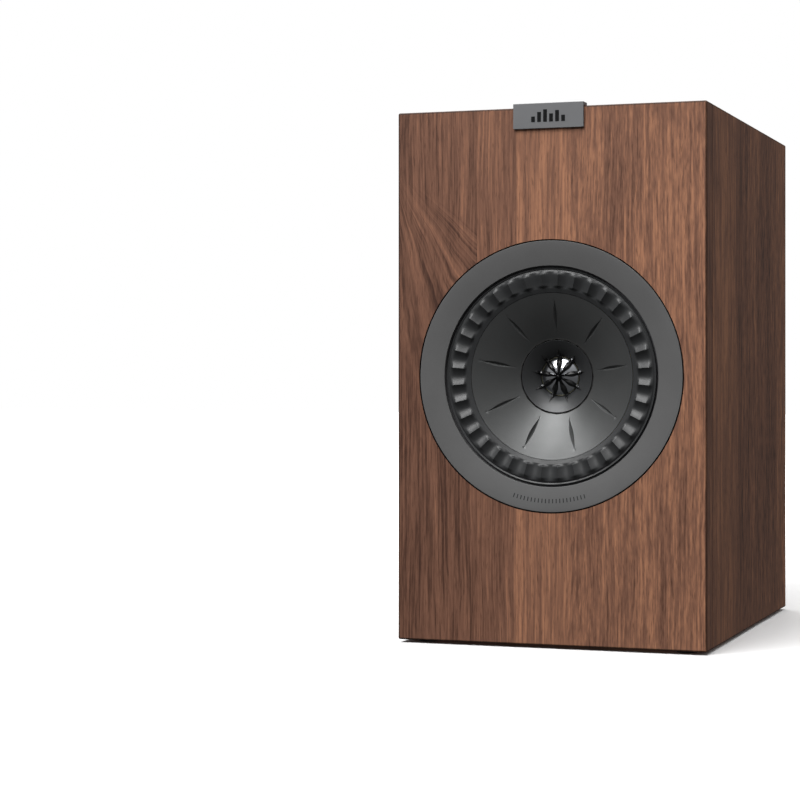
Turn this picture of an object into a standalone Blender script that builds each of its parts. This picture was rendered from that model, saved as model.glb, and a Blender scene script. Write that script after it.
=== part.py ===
"""Two-way bookshelf speaker with a coaxial driver, built piece by piece.

Frame: +X to the right seen from the front, +Y into the cabinet, +Z up. The origin is the centre of
the footprint, on the surface that the speaker stands on. Metres.
"""

import math

import bmesh
import bpy
from mathutils import Matrix

# ---------------------------------------------------------------- driving dimensions

# Clearances between pieces
GAP = 0.0003
RUNNING_GAP = 0.00055
SCREW_CLEARANCE = 0.0003
POST_CLEARANCE = 0.00035

# Cabinet
CABINET_WIDTH = 0.180
CABINET_HEIGHT = 0.303
CABINET_DEPTH = 0.252
PANEL_THICKNESS = 0.015
BAFFLE_THICKNESS = 0.015
REAR_THICKNESS = 0.015
FOOT_HEIGHT = 0.0015
FOOT_RADIUS = 0.006
FOOT_INSET = 0.014

# Badge plate on the top front edge
BADGE_WIDTH = 0.041
BADGE_HEIGHT = 0.0143
BADGE_PROUD = 0.0015
BADGE_RISE = 0.0022
BADGE_FLANGE = 0.0065

# Driver: radii from its axis, depths behind the baffle's front plane
RING_RADIUS = 0.0764
RING_WIDTH = 0.0140
RING_DISH = 0.0017
RING_THICKNESS = 0.0040
RING_REVEAL = 0.0009
RING_HEAD_CLEARANCE = 0.0006
RING_SKIN = 0.0006
FLANGE_SETBACK = 0.0039
FLANGE_THICKNESS = 0.0027
GASKET_THICKNESS = 0.0010
DRIVER_HOLE_MARGIN = 0.0001
DRIVER_SCREWS = 4
DRIVER_SCREW_RADIUS = 0.00175
DRIVER_SCREW_LENGTH = 0.0095
DRIVER_SCREW_HEAD_RADIUS = 0.0030
DRIVER_SCREW_HEAD = 0.0013

SURROUND_GROOVE = 0.0012
SURROUND_WIDTH = 0.0134
SURROUND_LIP_DEPTH = 0.0021
SURROUND_FLANGE_WIDTH = 0.0024
SURROUND_THICKNESS = 0.0009

CONE_EDGE_DEPTH = 0.0046
CONE_NECK_DEPTH = 0.0167
CONE_THICKNESS = 0.0009
CONE_BOW = 0.0008
CONE_STROKE = 0.0040

FORMER_THICKNESS = 0.00045
COIL_THICKNESS = 0.0009
COIL_LENGTH = 0.012

SPIDER_RADIUS = 0.0452
SPIDER_THICKNESS = 0.0008
SPIDER_WAVE = 0.0005
SPIDER_WAVES = 3
SPIDER_LEDGE_WIDTH = 0.0037
SPIDER_LEDGE_DEPTH = 0.0273

CHASSIS_WALL = 0.0028
CHASSIS_HOLE_GAP = 0.0008
CHASSIS_NECK_DEPTH = 0.0310
CHASSIS_BASE_DEPTH = 0.0417
CHASSIS_BASE_THICKNESS = 0.0025
CHASSIS_WINDOWS = 6
CHASSIS_ARM_WIDTH = 0.012

PLATE_RADIUS = 0.0460
PLATE_THICKNESS = 0.0060
MAGNET_RADIUS = 0.0500
MAGNET_SETBACK = 0.0033
MAGNET_THICKNESS = 0.0180
YOKE_THICKNESS = 0.0060
POLE_VENT_RADIUS = 0.0060

# Tweeter, inside the woofer's voice coil
WAVEGUIDE_RADIUS = 0.0207
WAVEGUIDE_DEPTH = 0.0167
THROAT_DEPTH = 0.0245
THROAT_LIP = 0.0007
WAVEGUIDE_FLARE = 0.80
SUSPENSION_WIDTH = 0.0020
SUSPENSION_THICKNESS = 0.0005
DOME_RADIUS = 0.01105
DOME_CLEARANCE = 0.00035
DOME_RISE = 0.0035
DOME_THICKNESS = 0.0004
DOME_SKIRT = 0.0015
DOME_STROKE = 0.0003
TWEETER_COIL_THICKNESS = 0.00065
TWEETER_COIL_LENGTH = 0.0046
TWEETER_PLATE_SETBACK = 0.0004
TWEETER_PLATE_THICKNESS = 0.0030
TWEETER_MAGNET_SETBACK = 0.0003
TWEETER_MAGNET_BORE_SETBACK = 0.0014
TWEETER_MAGNET_THICKNESS = 0.0060
TWEETER_YOKE_THICKNESS = 0.0047
TWEETER_VENT_RADIUS = 0.0035
DAMPING_TUBE_LENGTH = 0.0400
DAMPING_TUBE_WALL = 0.0018

PLUG_FINS = 9
PLUG_HUB_RADIUS = 0.0017
PLUG_STANDOFF = 0.0026
PLUG_THICKNESS = 0.0009
PLUG_DOME_CLEARANCE = 0.0008
PLUG_SPIKE = 0.0028
PLUG_ROOT = 0.0018
PLUG_ROOT_HALF_WIDTH = 0.00090
PLUG_LEAF_HALF_WIDTH = 0.00145
PLUG_EDGE_HALF_WIDTH = 0.00100

# Bracing behind the motor
DAMPING_RING_RADIUS = 0.0400
DAMPING_RING_BORE = 0.0140
DAMPING_RING_THICKNESS = 0.0030
BRACE_THICKNESS = 0.0120
BRACE_FRAME = 0.0180
BRACE_BRIDGE = 0.0900
BRACE_HOLE_RADIUS = 0.0120
WADDING_THICKNESS = 0.0300
WADDING_CLEARANCE = 0.0040
WADDING_INSET = 0.0050

# Reflex port in the rear panel
PORT_DROP = 0.068
PORT_RADIUS = 0.0235
PORT_WALL = 0.0030
PORT_LENGTH = 0.1120
PORT_FLANGE_RADIUS = 0.0400
PORT_FLANGE_PROUD = 0.0025
PORT_MOUTH_RADIUS = 0.0380
PORT_BODY_RADIUS = 0.0330
PORT_FLARE_LENGTH = 0.0160
PORT_JOINT_DEPTH = 0.0220
PORT_TAIL_RADIUS = 0.0320
PORT_TAIL_LENGTH = 0.0120

# Terminal plate and binding posts
TERMINAL_HEIGHT = 0.060
TERMINAL_WIDTH = 0.0740
TERMINAL_TALL = 0.0460
TERMINAL_THICKNESS = 0.0025
TERMINAL_CORNER = 0.0050
TERMINAL_GASKET = 0.0010
TERMINAL_POCKET_WIDTH = 0.0460
TERMINAL_POCKET_TALL = 0.0240
TERMINAL_SCREW_INSET = 0.0062
TERMINAL_SCREW_RADIUS = 0.0016
TERMINAL_SCREW_LENGTH = 0.0140
TERMINAL_SCREW_HEAD_RADIUS = 0.0030
TERMINAL_SCREW_HEAD = 0.0018
POST_SPACING = 0.0220
POST_RADIUS = 0.0030
POST_SOCKET_RADIUS = 0.00205
POST_SOCKET_DEPTH = 0.0130
POST_INNER_REACH = 0.0060
POST_REACH = 0.0240
POST_WIRE_HOLE_RADIUS = 0.0013
COLLAR_RADIUS = 0.0068
COLLAR_LENGTH = 0.0030
CLAMP_WASHER_RADIUS = 0.0060
CLAMP_WASHER_LENGTH = 0.0010
CAP_RADIUS = 0.0064
CAP_LENGTH = 0.0135

# Crossover on the bottom panel
BOARD_WIDTH = 0.110
BOARD_DEPTH = 0.080
BOARD_THICKNESS = 0.0016
BOARD_REAR_MARGIN = 0.0200
WOOFER_COIL_RADIUS = 0.0180
WOOFER_COIL_HEIGHT = 0.0200
TWEETER_COIL_RADIUS = 0.0130
TWEETER_COIL_HEIGHT = 0.0140
INDUCTOR_BORE = 0.0060
WOOFER_CAP_RADIUS = 0.0090
WOOFER_CAP_LENGTH = 0.0360
TWEETER_CAP_RADIUS = 0.0070
TWEETER_CAP_LENGTH = 0.0300
COMPONENT_SPACING = 0.0010
RESISTOR_SIDE = 0.0090
RESISTOR_LENGTH = 0.0380

# Facets
FINE = 36
MEDIUM = 20
COARSE = 12

# ---------------------------------------------------------------- derived places

FRONT_Y = BADGE_PROUD - (BADGE_PROUD + CABINET_DEPTH + POST_REACH) / 2
BACK_Y = FRONT_Y + CABINET_DEPTH
BASE_Z = FOOT_HEIGHT + GAP
TOP_Z = BASE_Z + CABINET_HEIGHT
DRIVER_Z = BASE_Z + CABINET_HEIGHT / 2
PORT_Z = TOP_Z - PORT_DROP
TERMINAL_Z = BASE_Z + TERMINAL_HEIGHT
FLOOR_Z = BASE_Z + PANEL_THICKNESS
INNER_WIDTH = CABINET_WIDTH - 2 * PANEL_THICKNESS
INNER_HEIGHT = CABINET_HEIGHT - 2 * PANEL_THICKNESS

RING_BORE = RING_RADIUS - RING_WIDTH
FLANGE_RADIUS = RING_RADIUS - FLANGE_SETBACK
DRIVER_HOLE_RADIUS = RING_BORE + DRIVER_HOLE_MARGIN
DRIVER_SCREW_CIRCLE = (DRIVER_HOLE_RADIUS + FLANGE_RADIUS) / 2
FLANGE_DEPTH = RING_THICKNESS + GAP
GASKET_DEPTH = FLANGE_DEPTH + FLANGE_THICKNESS + GAP
SEAT_DEPTH = GASKET_DEPTH + GASKET_THICKNESS + GAP
SURROUND_RADIUS = RING_BORE - SURROUND_GROOVE
SURROUND_BORE = SURROUND_RADIUS - SURROUND_WIDTH
CONE_RADIUS = SURROUND_BORE - GAP
FORMER_BORE = WAVEGUIDE_RADIUS + RUNNING_GAP
FORMER_RADIUS = FORMER_BORE + FORMER_THICKNESS
COIL_BORE = FORMER_RADIUS + GAP
COIL_RADIUS = COIL_BORE + COIL_THICKNESS
CONE_BORE = FORMER_RADIUS + GAP
PLATE_DEPTH = CHASSIS_BASE_DEPTH + GAP
PLATE_BORE = COIL_RADIUS + RUNNING_GAP + GAP
MAGNET_BORE = PLATE_BORE + MAGNET_SETBACK
MAGNET_DEPTH = PLATE_DEPTH + PLATE_THICKNESS + GAP
YOKE_DEPTH = MAGNET_DEPTH + MAGNET_THICKNESS + GAP
YOKE_BACK_DEPTH = YOKE_DEPTH + YOKE_THICKNESS
POLE_RADIUS = WAVEGUIDE_RADIUS - GAP / 2
COIL_CENTRE_DEPTH = PLATE_DEPTH + PLATE_THICKNESS / 2
DAMPING_RING_DEPTH = YOKE_BACK_DEPTH + GAP
BRACE_DEPTH = DAMPING_RING_DEPTH + DAMPING_RING_THICKNESS + GAP

THROAT_RADIUS = DOME_RADIUS + DOME_CLEARANCE
SUSPENSION_DEPTH = THROAT_DEPTH + THROAT_LIP + GAP
WAVEGUIDE_BACK_DEPTH = SUSPENSION_DEPTH + SUSPENSION_THICKNESS + GAP
TWEETER_PLATE_RADIUS = WAVEGUIDE_RADIUS - TWEETER_PLATE_SETBACK
TWEETER_PLATE_DEPTH = WAVEGUIDE_BACK_DEPTH + GAP
TWEETER_MAGNET_DEPTH = TWEETER_PLATE_DEPTH + TWEETER_PLATE_THICKNESS + GAP
TWEETER_YOKE_DEPTH = TWEETER_MAGNET_DEPTH + TWEETER_MAGNET_THICKNESS + GAP
TWEETER_BACK_DEPTH = TWEETER_YOKE_DEPTH + TWEETER_YOKE_THICKNESS
POLE_DEPTH = TWEETER_BACK_DEPTH + GAP
TWEETER_COIL_BORE = DOME_RADIUS + GAP
TWEETER_COIL_RADIUS = TWEETER_COIL_BORE + TWEETER_COIL_THICKNESS
TWEETER_PLATE_BORE = TWEETER_COIL_RADIUS + RUNNING_GAP
TWEETER_POLE_RADIUS = TWEETER_COIL_BORE - RUNNING_GAP
TWEETER_MAGNET_RADIUS = TWEETER_PLATE_RADIUS - TWEETER_MAGNET_SETBACK
TWEETER_MAGNET_BORE = TWEETER_PLATE_BORE + TWEETER_MAGNET_BORE_SETBACK
SUSPENSION_RADIUS = TWEETER_COIL_BORE + SUSPENSION_WIDTH
PLUG_TIP_DEPTH = THROAT_DEPTH - DOME_RISE - PLUG_STANDOFF
PLUG_REACH = THROAT_RADIUS + PLUG_SPIKE
PLUG_STATIONS = (
    (PLUG_HUB_RADIUS + PLUG_ROOT, PLUG_ROOT_HALF_WIDTH),
    ((PLUG_HUB_RADIUS + PLUG_ROOT + DOME_RADIUS) / 2, PLUG_LEAF_HALF_WIDTH),
    (DOME_RADIUS, PLUG_EDGE_HALF_WIDTH),
)

POST_X = POST_SPACING / 2
SCREW_X = TERMINAL_WIDTH / 2 - TERMINAL_SCREW_INSET
SCREW_Z = TERMINAL_TALL / 2 - TERMINAL_SCREW_INSET
POST_HOLE_RADIUS = POST_RADIUS + POST_CLEARANCE
PLATE_BACK = GAP + TERMINAL_GASKET + GAP
PLATE_FRONT = PLATE_BACK + TERMINAL_THICKNESS
COLLAR_START = PLATE_FRONT + GAP
CLAMP_START = COLLAR_START + COLLAR_LENGTH + GAP
CAP_START = CLAMP_START + CLAMP_WASHER_LENGTH + GAP

CHASSIS_NECK_BORE = SPIDER_RADIUS + GAP - SPIDER_LEDGE_WIDTH
CHASSIS_LEDGE_RADIUS = SPIDER_RADIUS + GAP + CHASSIS_WALL
CHASSIS_TOP_RADIUS = DRIVER_HOLE_RADIUS - CHASSIS_HOLE_GAP
CHASSIS_MOUTH = SURROUND_RADIUS - SURROUND_FLANGE_WIDTH - GAP
SPIDER_DEPTH = SPIDER_LEDGE_DEPTH - GAP - SPIDER_THICKNESS

# ---------------------------------------------------------------- materials


def material(name, colour, roughness, metallic=0.0):
    made = bpy.data.materials.new(name)
    made.use_nodes = True
    shader = made.node_tree.nodes["Principled BSDF"]
    shader.inputs["Base Color"].default_value = (*colour, 1.0)
    shader.inputs["Roughness"].default_value = roughness
    shader.inputs["Metallic"].default_value = metallic
    return made


def all_materials():
    return {
        "walnut": material("walnut", (0.23, 0.12, 0.085), 0.45),
        "raw_board": material("raw_board", (0.40, 0.29, 0.18), 0.85),
        "rubber": material("rubber", (0.02, 0.02, 0.022), 0.80),
        "badge_grey": material("badge_grey", (0.18, 0.185, 0.19), 0.38, 0.60),
        "ring_grey": material("ring_grey", (0.12, 0.12, 0.12), 0.42, 0.20),
        "black_plastic": material("black_plastic", (0.015, 0.015, 0.016), 0.35),
        "foam": material("foam", (0.03, 0.03, 0.03), 0.95),
        "cast_frame": material("cast_frame", (0.05, 0.05, 0.055), 0.50, 0.30),
        "screw_black": material("screw_black", (0.03, 0.03, 0.03), 0.35, 0.90),
        "surround_rubber": material("surround_rubber", (0.028, 0.028, 0.03), 0.50),
        "cone_metal": material("cone_metal", (0.10, 0.10, 0.105), 0.38, 0.60),
        "brown_former": material("brown_former", (0.25, 0.13, 0.05), 0.50),
        "copper": material("copper", (0.70, 0.32, 0.15), 0.30, 1.0),
        "spider_cloth": material("spider_cloth", (0.55, 0.36, 0.12), 0.90),
        "steel": material("steel", (0.45, 0.45, 0.46), 0.35, 1.0),
        "ferrite": material("ferrite", (0.045, 0.045, 0.05), 0.60),
        "neodymium": material("neodymium", (0.62, 0.62, 0.60), 0.28, 1.0),
        "waveguide_grey": material("waveguide_grey", (0.06, 0.06, 0.062), 0.30, 0.30),
        "dome_aluminium": material("dome_aluminium", (0.70, 0.71, 0.73), 0.18, 1.0),
        "wadding": material("wadding", (0.75, 0.75, 0.72), 1.0),
        "red_plastic": material("red_plastic", (0.55, 0.02, 0.02), 0.30),
        "brass": material("brass", (0.78, 0.57, 0.25), 0.25, 1.0),
        "board_green": material("board_green", (0.03, 0.16, 0.07), 0.45),
        "capacitor_film": material("capacitor_film", (0.60, 0.35, 0.05), 0.35),
        "resistor_white": material("resistor_white", (0.78, 0.76, 0.70), 0.75),
    }


# ---------------------------------------------------------------- modelling helpers


def clear_scene():
    for obj in list(bpy.data.objects):
        bpy.data.objects.remove(obj, do_unlink=True)


def add_object(name, shape, look=None, location=(0.0, 0.0, 0.0), rotation=(0.0, 0.0, 0.0)):
    """Turns a bmesh into a named object with outward normals."""
    bmesh.ops.recalc_face_normals(shape, faces=shape.faces[:])
    mesh = bpy.data.meshes.new(name)
    shape.to_mesh(mesh)
    shape.free()
    mesh.shade_smooth()
    mesh.set_sharp_from_angle(angle=math.radians(35.0))
    if look:
        mesh.materials.append(look)
    obj = bpy.data.objects.new(name, mesh)
    obj.location = location
    obj.rotation_euler = rotation
    bpy.context.scene.collection.objects.link(obj)
    return obj


def box(name, low, high, look=None):
    """A block between two corners; its origin is its centre."""
    shape = bmesh.new()
    size = [b - a for a, b in zip(low, high)]
    bmesh.ops.create_cube(shape, size=1.0, matrix=Matrix.Diagonal((*size, 1.0)))
    centre = [(a + b) / 2 for a, b in zip(low, high)]
    return add_object(name, shape, look, centre)


def spin_profile(shape, profile, segments):
    """Adds a solid turned about an axis along +Y. A profile that starts and ends on it stays open."""
    points = [shape.verts.new((radius, y, 0.0)) for radius, y in profile]
    on_axis = profile[0][0] == 0.0 and profile[-1][0] == 0.0
    pairs = list(zip(points, points[1:]))
    if not on_axis:
        pairs.append((points[-1], points[0]))
    edges = [shape.edges.new(pair) for pair in pairs]
    bmesh.ops.spin(
        shape,
        geom=points + edges,
        cent=(0.0, 0.0, 0.0),
        axis=(0.0, 1.0, 0.0),
        angle=2 * math.pi,
        steps=segments,
        use_merge=True,
    )
    bmesh.ops.remove_doubles(shape, verts=shape.verts[:], dist=1e-6)


def turned(name, profile, segments, look=None, location=(0.0, 0.0, 0.0), rotation=(0.0, 0.0, 0.0)):
    shape = bmesh.new()
    spin_profile(shape, profile, segments)
    return add_object(name, shape, look, location, rotation)


def rod_profile(radius, start, end):
    return [(0.0, start), (radius, start), (radius, end), (0.0, end)]


def ring_profile(bore, radius, start, end):
    return [(bore, start), (radius, start), (radius, end), (bore, end)]


def as_cutter(obj):
    obj.hide_render = True
    obj.display_type = "WIRE"
    return obj


def cut(target, *cutters):
    for cutter in cutters:
        step = target.modifiers.new("cut_" + cutter.name, "BOOLEAN")
        step.operation = "DIFFERENCE"
        step.solver = "EXACT"
        step.object = cutter


def holes_along_y(name, radius, start, end, places, segments=12):
    """One cutter made of a row of cylinders along Y, at (x, z) places."""
    shape = bmesh.new()
    turn = Matrix.Rotation(math.radians(-90.0), 4, "X")
    for x, z in places:
        place = Matrix.Translation((x, (start + end) / 2, z))
        bmesh.ops.create_cone(
            shape,
            cap_ends=True,
            segments=segments,
            radius1=radius,
            radius2=radius,
            depth=end - start,
            matrix=place @ turn,
        )
    return as_cutter(add_object(name, shape))


def round_rectangle(width, tall, corner, steps=4):
    """Outline of a rectangle with round corners, in (x, z)."""
    outline = []
    for quarter, (sx, sz) in enumerate(((1, 1), (-1, 1), (-1, -1), (1, -1))):
        for step in range(steps + 1):
            angle = math.pi / 2 * (quarter + step / steps)
            x = sx * (width / 2 - corner) + corner * math.cos(angle)
            z = sz * (tall / 2 - corner) + corner * math.sin(angle)
            outline.append((x, z))
    return outline


def slab(name, outline, start, end, look, location):
    """An (x, z) outline extruded along Y from start to end."""
    shape = bmesh.new()
    face = shape.faces.new([shape.verts.new((x, start, z)) for x, z in outline])
    raised = bmesh.ops.extrude_face_region(shape, geom=[face])["geom"]
    moved = [item for item in raised if isinstance(item, bmesh.types.BMVert)]
    bmesh.ops.translate(shape, verts=moved, vec=(0.0, end - start, 0.0))
    return add_object(name, shape, look, location)


def driver_screw_places():
    places = []
    for index in range(DRIVER_SCREWS):
        angle = 2 * math.pi * (index + 0.5) / DRIVER_SCREWS
        x = DRIVER_SCREW_CIRCLE * math.cos(angle)
        z = DRIVER_Z + DRIVER_SCREW_CIRCLE * math.sin(angle)
        places.append((x, z))
    return places


def screw(name, shank, length, head_radius, head, seat, look, location):
    """A round-headed screw along +Y whose head sits at the given seat and whose point is further in."""
    direction = 1.0 if length > 0 else -1.0
    top = seat - direction * head
    rim = seat - direction * head / 3
    profile = [
        (0.0, top),
        (0.6 * head_radius, top),
        (head_radius, rim),
        (head_radius, seat),
        (shank, seat),
        (shank, seat + 0.85 * length),
        (0.0, seat + length),
    ]
    return turned(name, profile, 12, look, location)


# ---------------------------------------------------------------- cabinet


def build_cabinet(looks):
    half = CABINET_WIDTH / 2
    inner = half - PANEL_THICKNESS
    carcass_y = FRONT_Y + BAFFLE_THICKNESS + GAP
    ceiling_z = TOP_Z - PANEL_THICKNESS
    walnut = looks["walnut"]

    baffle = box("front_baffle", (-half, FRONT_Y, BASE_Z), (half, carcass_y - GAP, TOP_Z), walnut)
    box("left_side_panel", (-half, carcass_y, BASE_Z), (-inner, BACK_Y, TOP_Z), walnut)
    box("right_side_panel", (inner, carcass_y, BASE_Z), (half, BACK_Y, TOP_Z), walnut)
    slot = inner - GAP
    box("top_panel", (-slot, carcass_y, ceiling_z), (slot, BACK_Y, TOP_Z), walnut)
    box("bottom_panel", (-slot, carcass_y, BASE_Z), (slot, BACK_Y, FLOOR_Z), walnut)
    rear_low = (-slot, BACK_Y - REAR_THICKNESS, FLOOR_Z + GAP)
    rear = box("rear_panel", rear_low, (slot, BACK_Y, ceiling_z - GAP), walnut)

    # Stepped cut-out: a recess that the trim ring fills with an even reveal, then the basket's hole
    recess = RING_RADIUS + RING_REVEAL
    cutout = turned(
        "driver_cutout",
        [
            (0.0, -BAFFLE_THICKNESS),
            (recess, -BAFFLE_THICKNESS),
            (recess, SEAT_DEPTH),
            (DRIVER_HOLE_RADIUS, SEAT_DEPTH),
            (DRIVER_HOLE_RADIUS, 2 * BAFFLE_THICKNESS),
            (0.0, 2 * BAFFLE_THICKNESS),
        ],
        FINE,
        location=(0.0, FRONT_Y, DRIVER_Z),
    )
    cut(baffle, as_cutter(cutout))

    port_hole = PORT_BODY_RADIUS + GAP
    post_pocket = (TERMINAL_POCKET_WIDTH / 2, TERMINAL_POCKET_TALL / 2)
    pocket = box(
        "terminal_pocket",
        (-post_pocket[0], BACK_Y - 2 * REAR_THICKNESS, TERMINAL_Z - post_pocket[1]),
        (post_pocket[0], BACK_Y + REAR_THICKNESS, TERMINAL_Z + post_pocket[1]),
    )
    port_cut = holes_along_y(
        "port_cutout",
        port_hole,
        BACK_Y - 2 * REAR_THICKNESS,
        BACK_Y + REAR_THICKNESS,
        [(0.0, PORT_Z)],
        FINE,
    )
    cut(rear, as_cutter(pocket), port_cut)
    return baffle, rear


def build_feet(looks):
    x = CABINET_WIDTH / 2 - FOOT_INSET
    front = FRONT_Y + FOOT_INSET
    back = BACK_Y - FOOT_INSET
    corners = {
        "foot_front_left": (-x, front),
        "foot_front_right": (x, front),
        "foot_rear_left": (-x, back),
        "foot_rear_right": (x, back),
    }
    for name, (foot_x, foot_y) in corners.items():
        turned(
            name,
            rod_profile(FOOT_RADIUS, 0.0, FOOT_HEIGHT),
            COARSE,
            looks["rubber"],
            (foot_x, foot_y, 0.0),
            (math.radians(90.0), 0.0, 0.0),
        )


def build_badge(looks):
    """A plate on the baffle's top edge whose flange folds back over the cabinet's top."""
    shape = bmesh.new()
    top = TOP_Z + BADGE_RISE
    bottom = top - BADGE_HEIGHT
    outline = [
        (-BADGE_PROUD, bottom),
        (-GAP, bottom),
        (-GAP, TOP_Z + GAP),
        (BADGE_FLANGE, TOP_Z + GAP),
        (BADGE_FLANGE, top),
        (-BADGE_PROUD, top),
    ]
    verts = [shape.verts.new((-BADGE_WIDTH / 2, FRONT_Y + y, z)) for y, z in outline]
    raised = bmesh.ops.extrude_face_region(shape, geom=[shape.faces.new(verts)])["geom"]
    moved = [item for item in raised if isinstance(item, bmesh.types.BMVert)]
    bmesh.ops.translate(shape, verts=moved, vec=(BADGE_WIDTH, 0.0, 0.0))
    add_object("badge_plate", shape, looks["badge_grey"])


def build_brace(looks):
    inner = CABINET_WIDTH / 2 - PANEL_THICKNESS - GAP
    low_z = FLOOR_Z + GAP
    high_z = TOP_Z - PANEL_THICKNESS - GAP
    start = FRONT_Y + BRACE_DEPTH
    end = start + BRACE_THICKNESS
    brace = box("window_brace", (-inner, start, low_z), (inner, end, high_z), looks["raw_board"])
    window_x = inner - BRACE_FRAME
    over = BRACE_THICKNESS
    upper = box(
        "brace_upper_window",
        (-window_x, start - over, DRIVER_Z + BRACE_BRIDGE / 2),
        (window_x, end + over, high_z - BRACE_FRAME),
    )
    lower = box(
        "brace_lower_window",
        (-window_x, start - over, low_z + BRACE_FRAME),
        (window_x, end + over, DRIVER_Z - BRACE_BRIDGE / 2),
    )
    centre = holes_along_y(
        "brace_hole", BRACE_HOLE_RADIUS, start - over, end + over, [(0.0, DRIVER_Z)], COARSE
    )
    cut(brace, as_cutter(upper), as_cutter(lower), centre)
    turned(
        "magnet_damping_ring",
        ring_profile(
            DAMPING_RING_BORE,
            DAMPING_RING_RADIUS,
            DAMPING_RING_DEPTH,
            DAMPING_RING_DEPTH + DAMPING_RING_THICKNESS,
        ),
        MEDIUM,
        looks["rubber"],
        (0.0, FRONT_Y, DRIVER_Z),
    )
    pad_start = end + WADDING_CLEARANCE
    pad_x = inner - WADDING_INSET
    box(
        "damping_wadding",
        (-pad_x, pad_start, low_z + WADDING_INSET),
        (pad_x, pad_start + WADDING_THICKNESS, high_z - WADDING_INSET),
        looks["wadding"],
    )


# ---------------------------------------------------------------- woofer


def ring_dish(radius):
    """Depth of the trim ring's face: flush at its edge, dished towards the bore."""
    share = (RING_RADIUS - radius) / (RING_RADIUS - RING_BORE)
    return RING_DISH * share**1.4


def build_trim_ring(looks, place):
    face = [RING_BORE + (RING_RADIUS - RING_BORE) * step / 4 for step in range(5)]
    profile = [(radius, ring_dish(radius)) for radius in face]
    head_room = DRIVER_SCREW_HEAD_RADIUS + RING_HEAD_CLEARANCE
    channel_out = DRIVER_SCREW_CIRCLE + head_room
    channel_in = DRIVER_SCREW_CIRCLE - head_room
    channel_depth = ring_dish(channel_in) + RING_SKIN
    profile += [
        (RING_RADIUS, RING_THICKNESS),
        (channel_out, RING_THICKNESS),
        (channel_out, channel_depth),
        (channel_in, channel_depth),
        (channel_in, RING_THICKNESS),
        (RING_BORE, RING_THICKNESS),
    ]
    turned("trim_ring", profile, FINE, looks["ring_grey"], place)


def chassis_profile():
    flange_back = FLANGE_DEPTH + FLANGE_THICKNESS
    base_front = CHASSIS_BASE_DEPTH - CHASSIS_BASE_THICKNESS
    neck = CHASSIS_NECK_BORE + CHASSIS_WALL
    bore = COIL_RADIUS + 2 * RUNNING_GAP
    shoulder = flange_back + CHASSIS_WALL
    return [
        (FLANGE_RADIUS, FLANGE_DEPTH),
        (FLANGE_RADIUS, flange_back),
        (CHASSIS_TOP_RADIUS, flange_back),
        (CHASSIS_TOP_RADIUS, shoulder),
        (CHASSIS_LEDGE_RADIUS, SPIDER_LEDGE_DEPTH),
        (neck, CHASSIS_NECK_DEPTH),
        (neck, CHASSIS_BASE_DEPTH),
        (bore, CHASSIS_BASE_DEPTH),
        (bore, base_front),
        (CHASSIS_NECK_BORE, base_front),
        (CHASSIS_NECK_BORE, SPIDER_LEDGE_DEPTH),
        (SPIDER_RADIUS + GAP, SPIDER_LEDGE_DEPTH),
        (CHASSIS_MOUTH, shoulder),
        (CHASSIS_MOUTH, FLANGE_DEPTH),
    ]


def build_chassis(looks, place, baffle):
    chassis = turned("driver_chassis", chassis_profile(), FINE, looks["cast_frame"], place)
    shape = bmesh.new()
    low = FLANGE_DEPTH + FLANGE_THICKNESS + 2 * CHASSIS_WALL
    high = SPIDER_LEDGE_DEPTH - CHASSIS_WALL
    sector = 2 * math.pi / CHASSIS_WINDOWS
    width = 2 * CHASSIS_LEDGE_RADIUS * math.sin(sector / 2) - CHASSIS_ARM_WIDTH
    near = CHASSIS_NECK_BORE
    far = FLANGE_RADIUS
    for index in range(CHASSIS_WINDOWS):
        turn = Matrix.Rotation(sector * (index + 0.5), 4, "Y")
        centre = Matrix.Translation(((near + far) / 2, (low + high) / 2, 0.0))
        size = Matrix.Diagonal((far - near, high - low, width, 1.0))
        bmesh.ops.create_cube(shape, size=1.0, matrix=turn @ centre @ size)
    windows = as_cutter(add_object("chassis_windows", shape, location=place))
    hole_radius = DRIVER_SCREW_RADIUS + SCREW_CLEARANCE
    holes = holes_along_y(
        "driver_screw_holes",
        hole_radius,
        FRONT_Y + RING_THICKNESS + GAP / 2,
        FRONT_Y + FLANGE_DEPTH + DRIVER_SCREW_LENGTH + GAP,
        driver_screw_places(),
    )
    cut(chassis, windows, holes)
    gasket = turned(
        "driver_gasket",
        ring_profile(
            DRIVER_HOLE_RADIUS, FLANGE_RADIUS, GASKET_DEPTH, GASKET_DEPTH + GASKET_THICKNESS
        ),
        FINE,
        looks["foam"],
        place,
    )
    cut(gasket, holes)
    cut(baffle, holes)
    for index, (x, z) in enumerate(driver_screw_places()):
        screw(
            f"driver_screw_{index + 1}",
            DRIVER_SCREW_RADIUS,
            DRIVER_SCREW_LENGTH,
            DRIVER_SCREW_HEAD_RADIUS,
            DRIVER_SCREW_HEAD,
            RING_THICKNESS,
            looks["screw_black"],
            (x, FRONT_Y, z),
        )


def cone_depth(radius):
    """Depth of the cone's front: a shallow horn, steeper towards its neck."""
    share = (CONE_RADIUS - radius) / (CONE_RADIUS - CONE_BORE)
    straight = CONE_EDGE_DEPTH + (CONE_NECK_DEPTH - CONE_EDGE_DEPTH) * share
    return straight - CONE_BOW * math.sin(math.pi * share)


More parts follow.
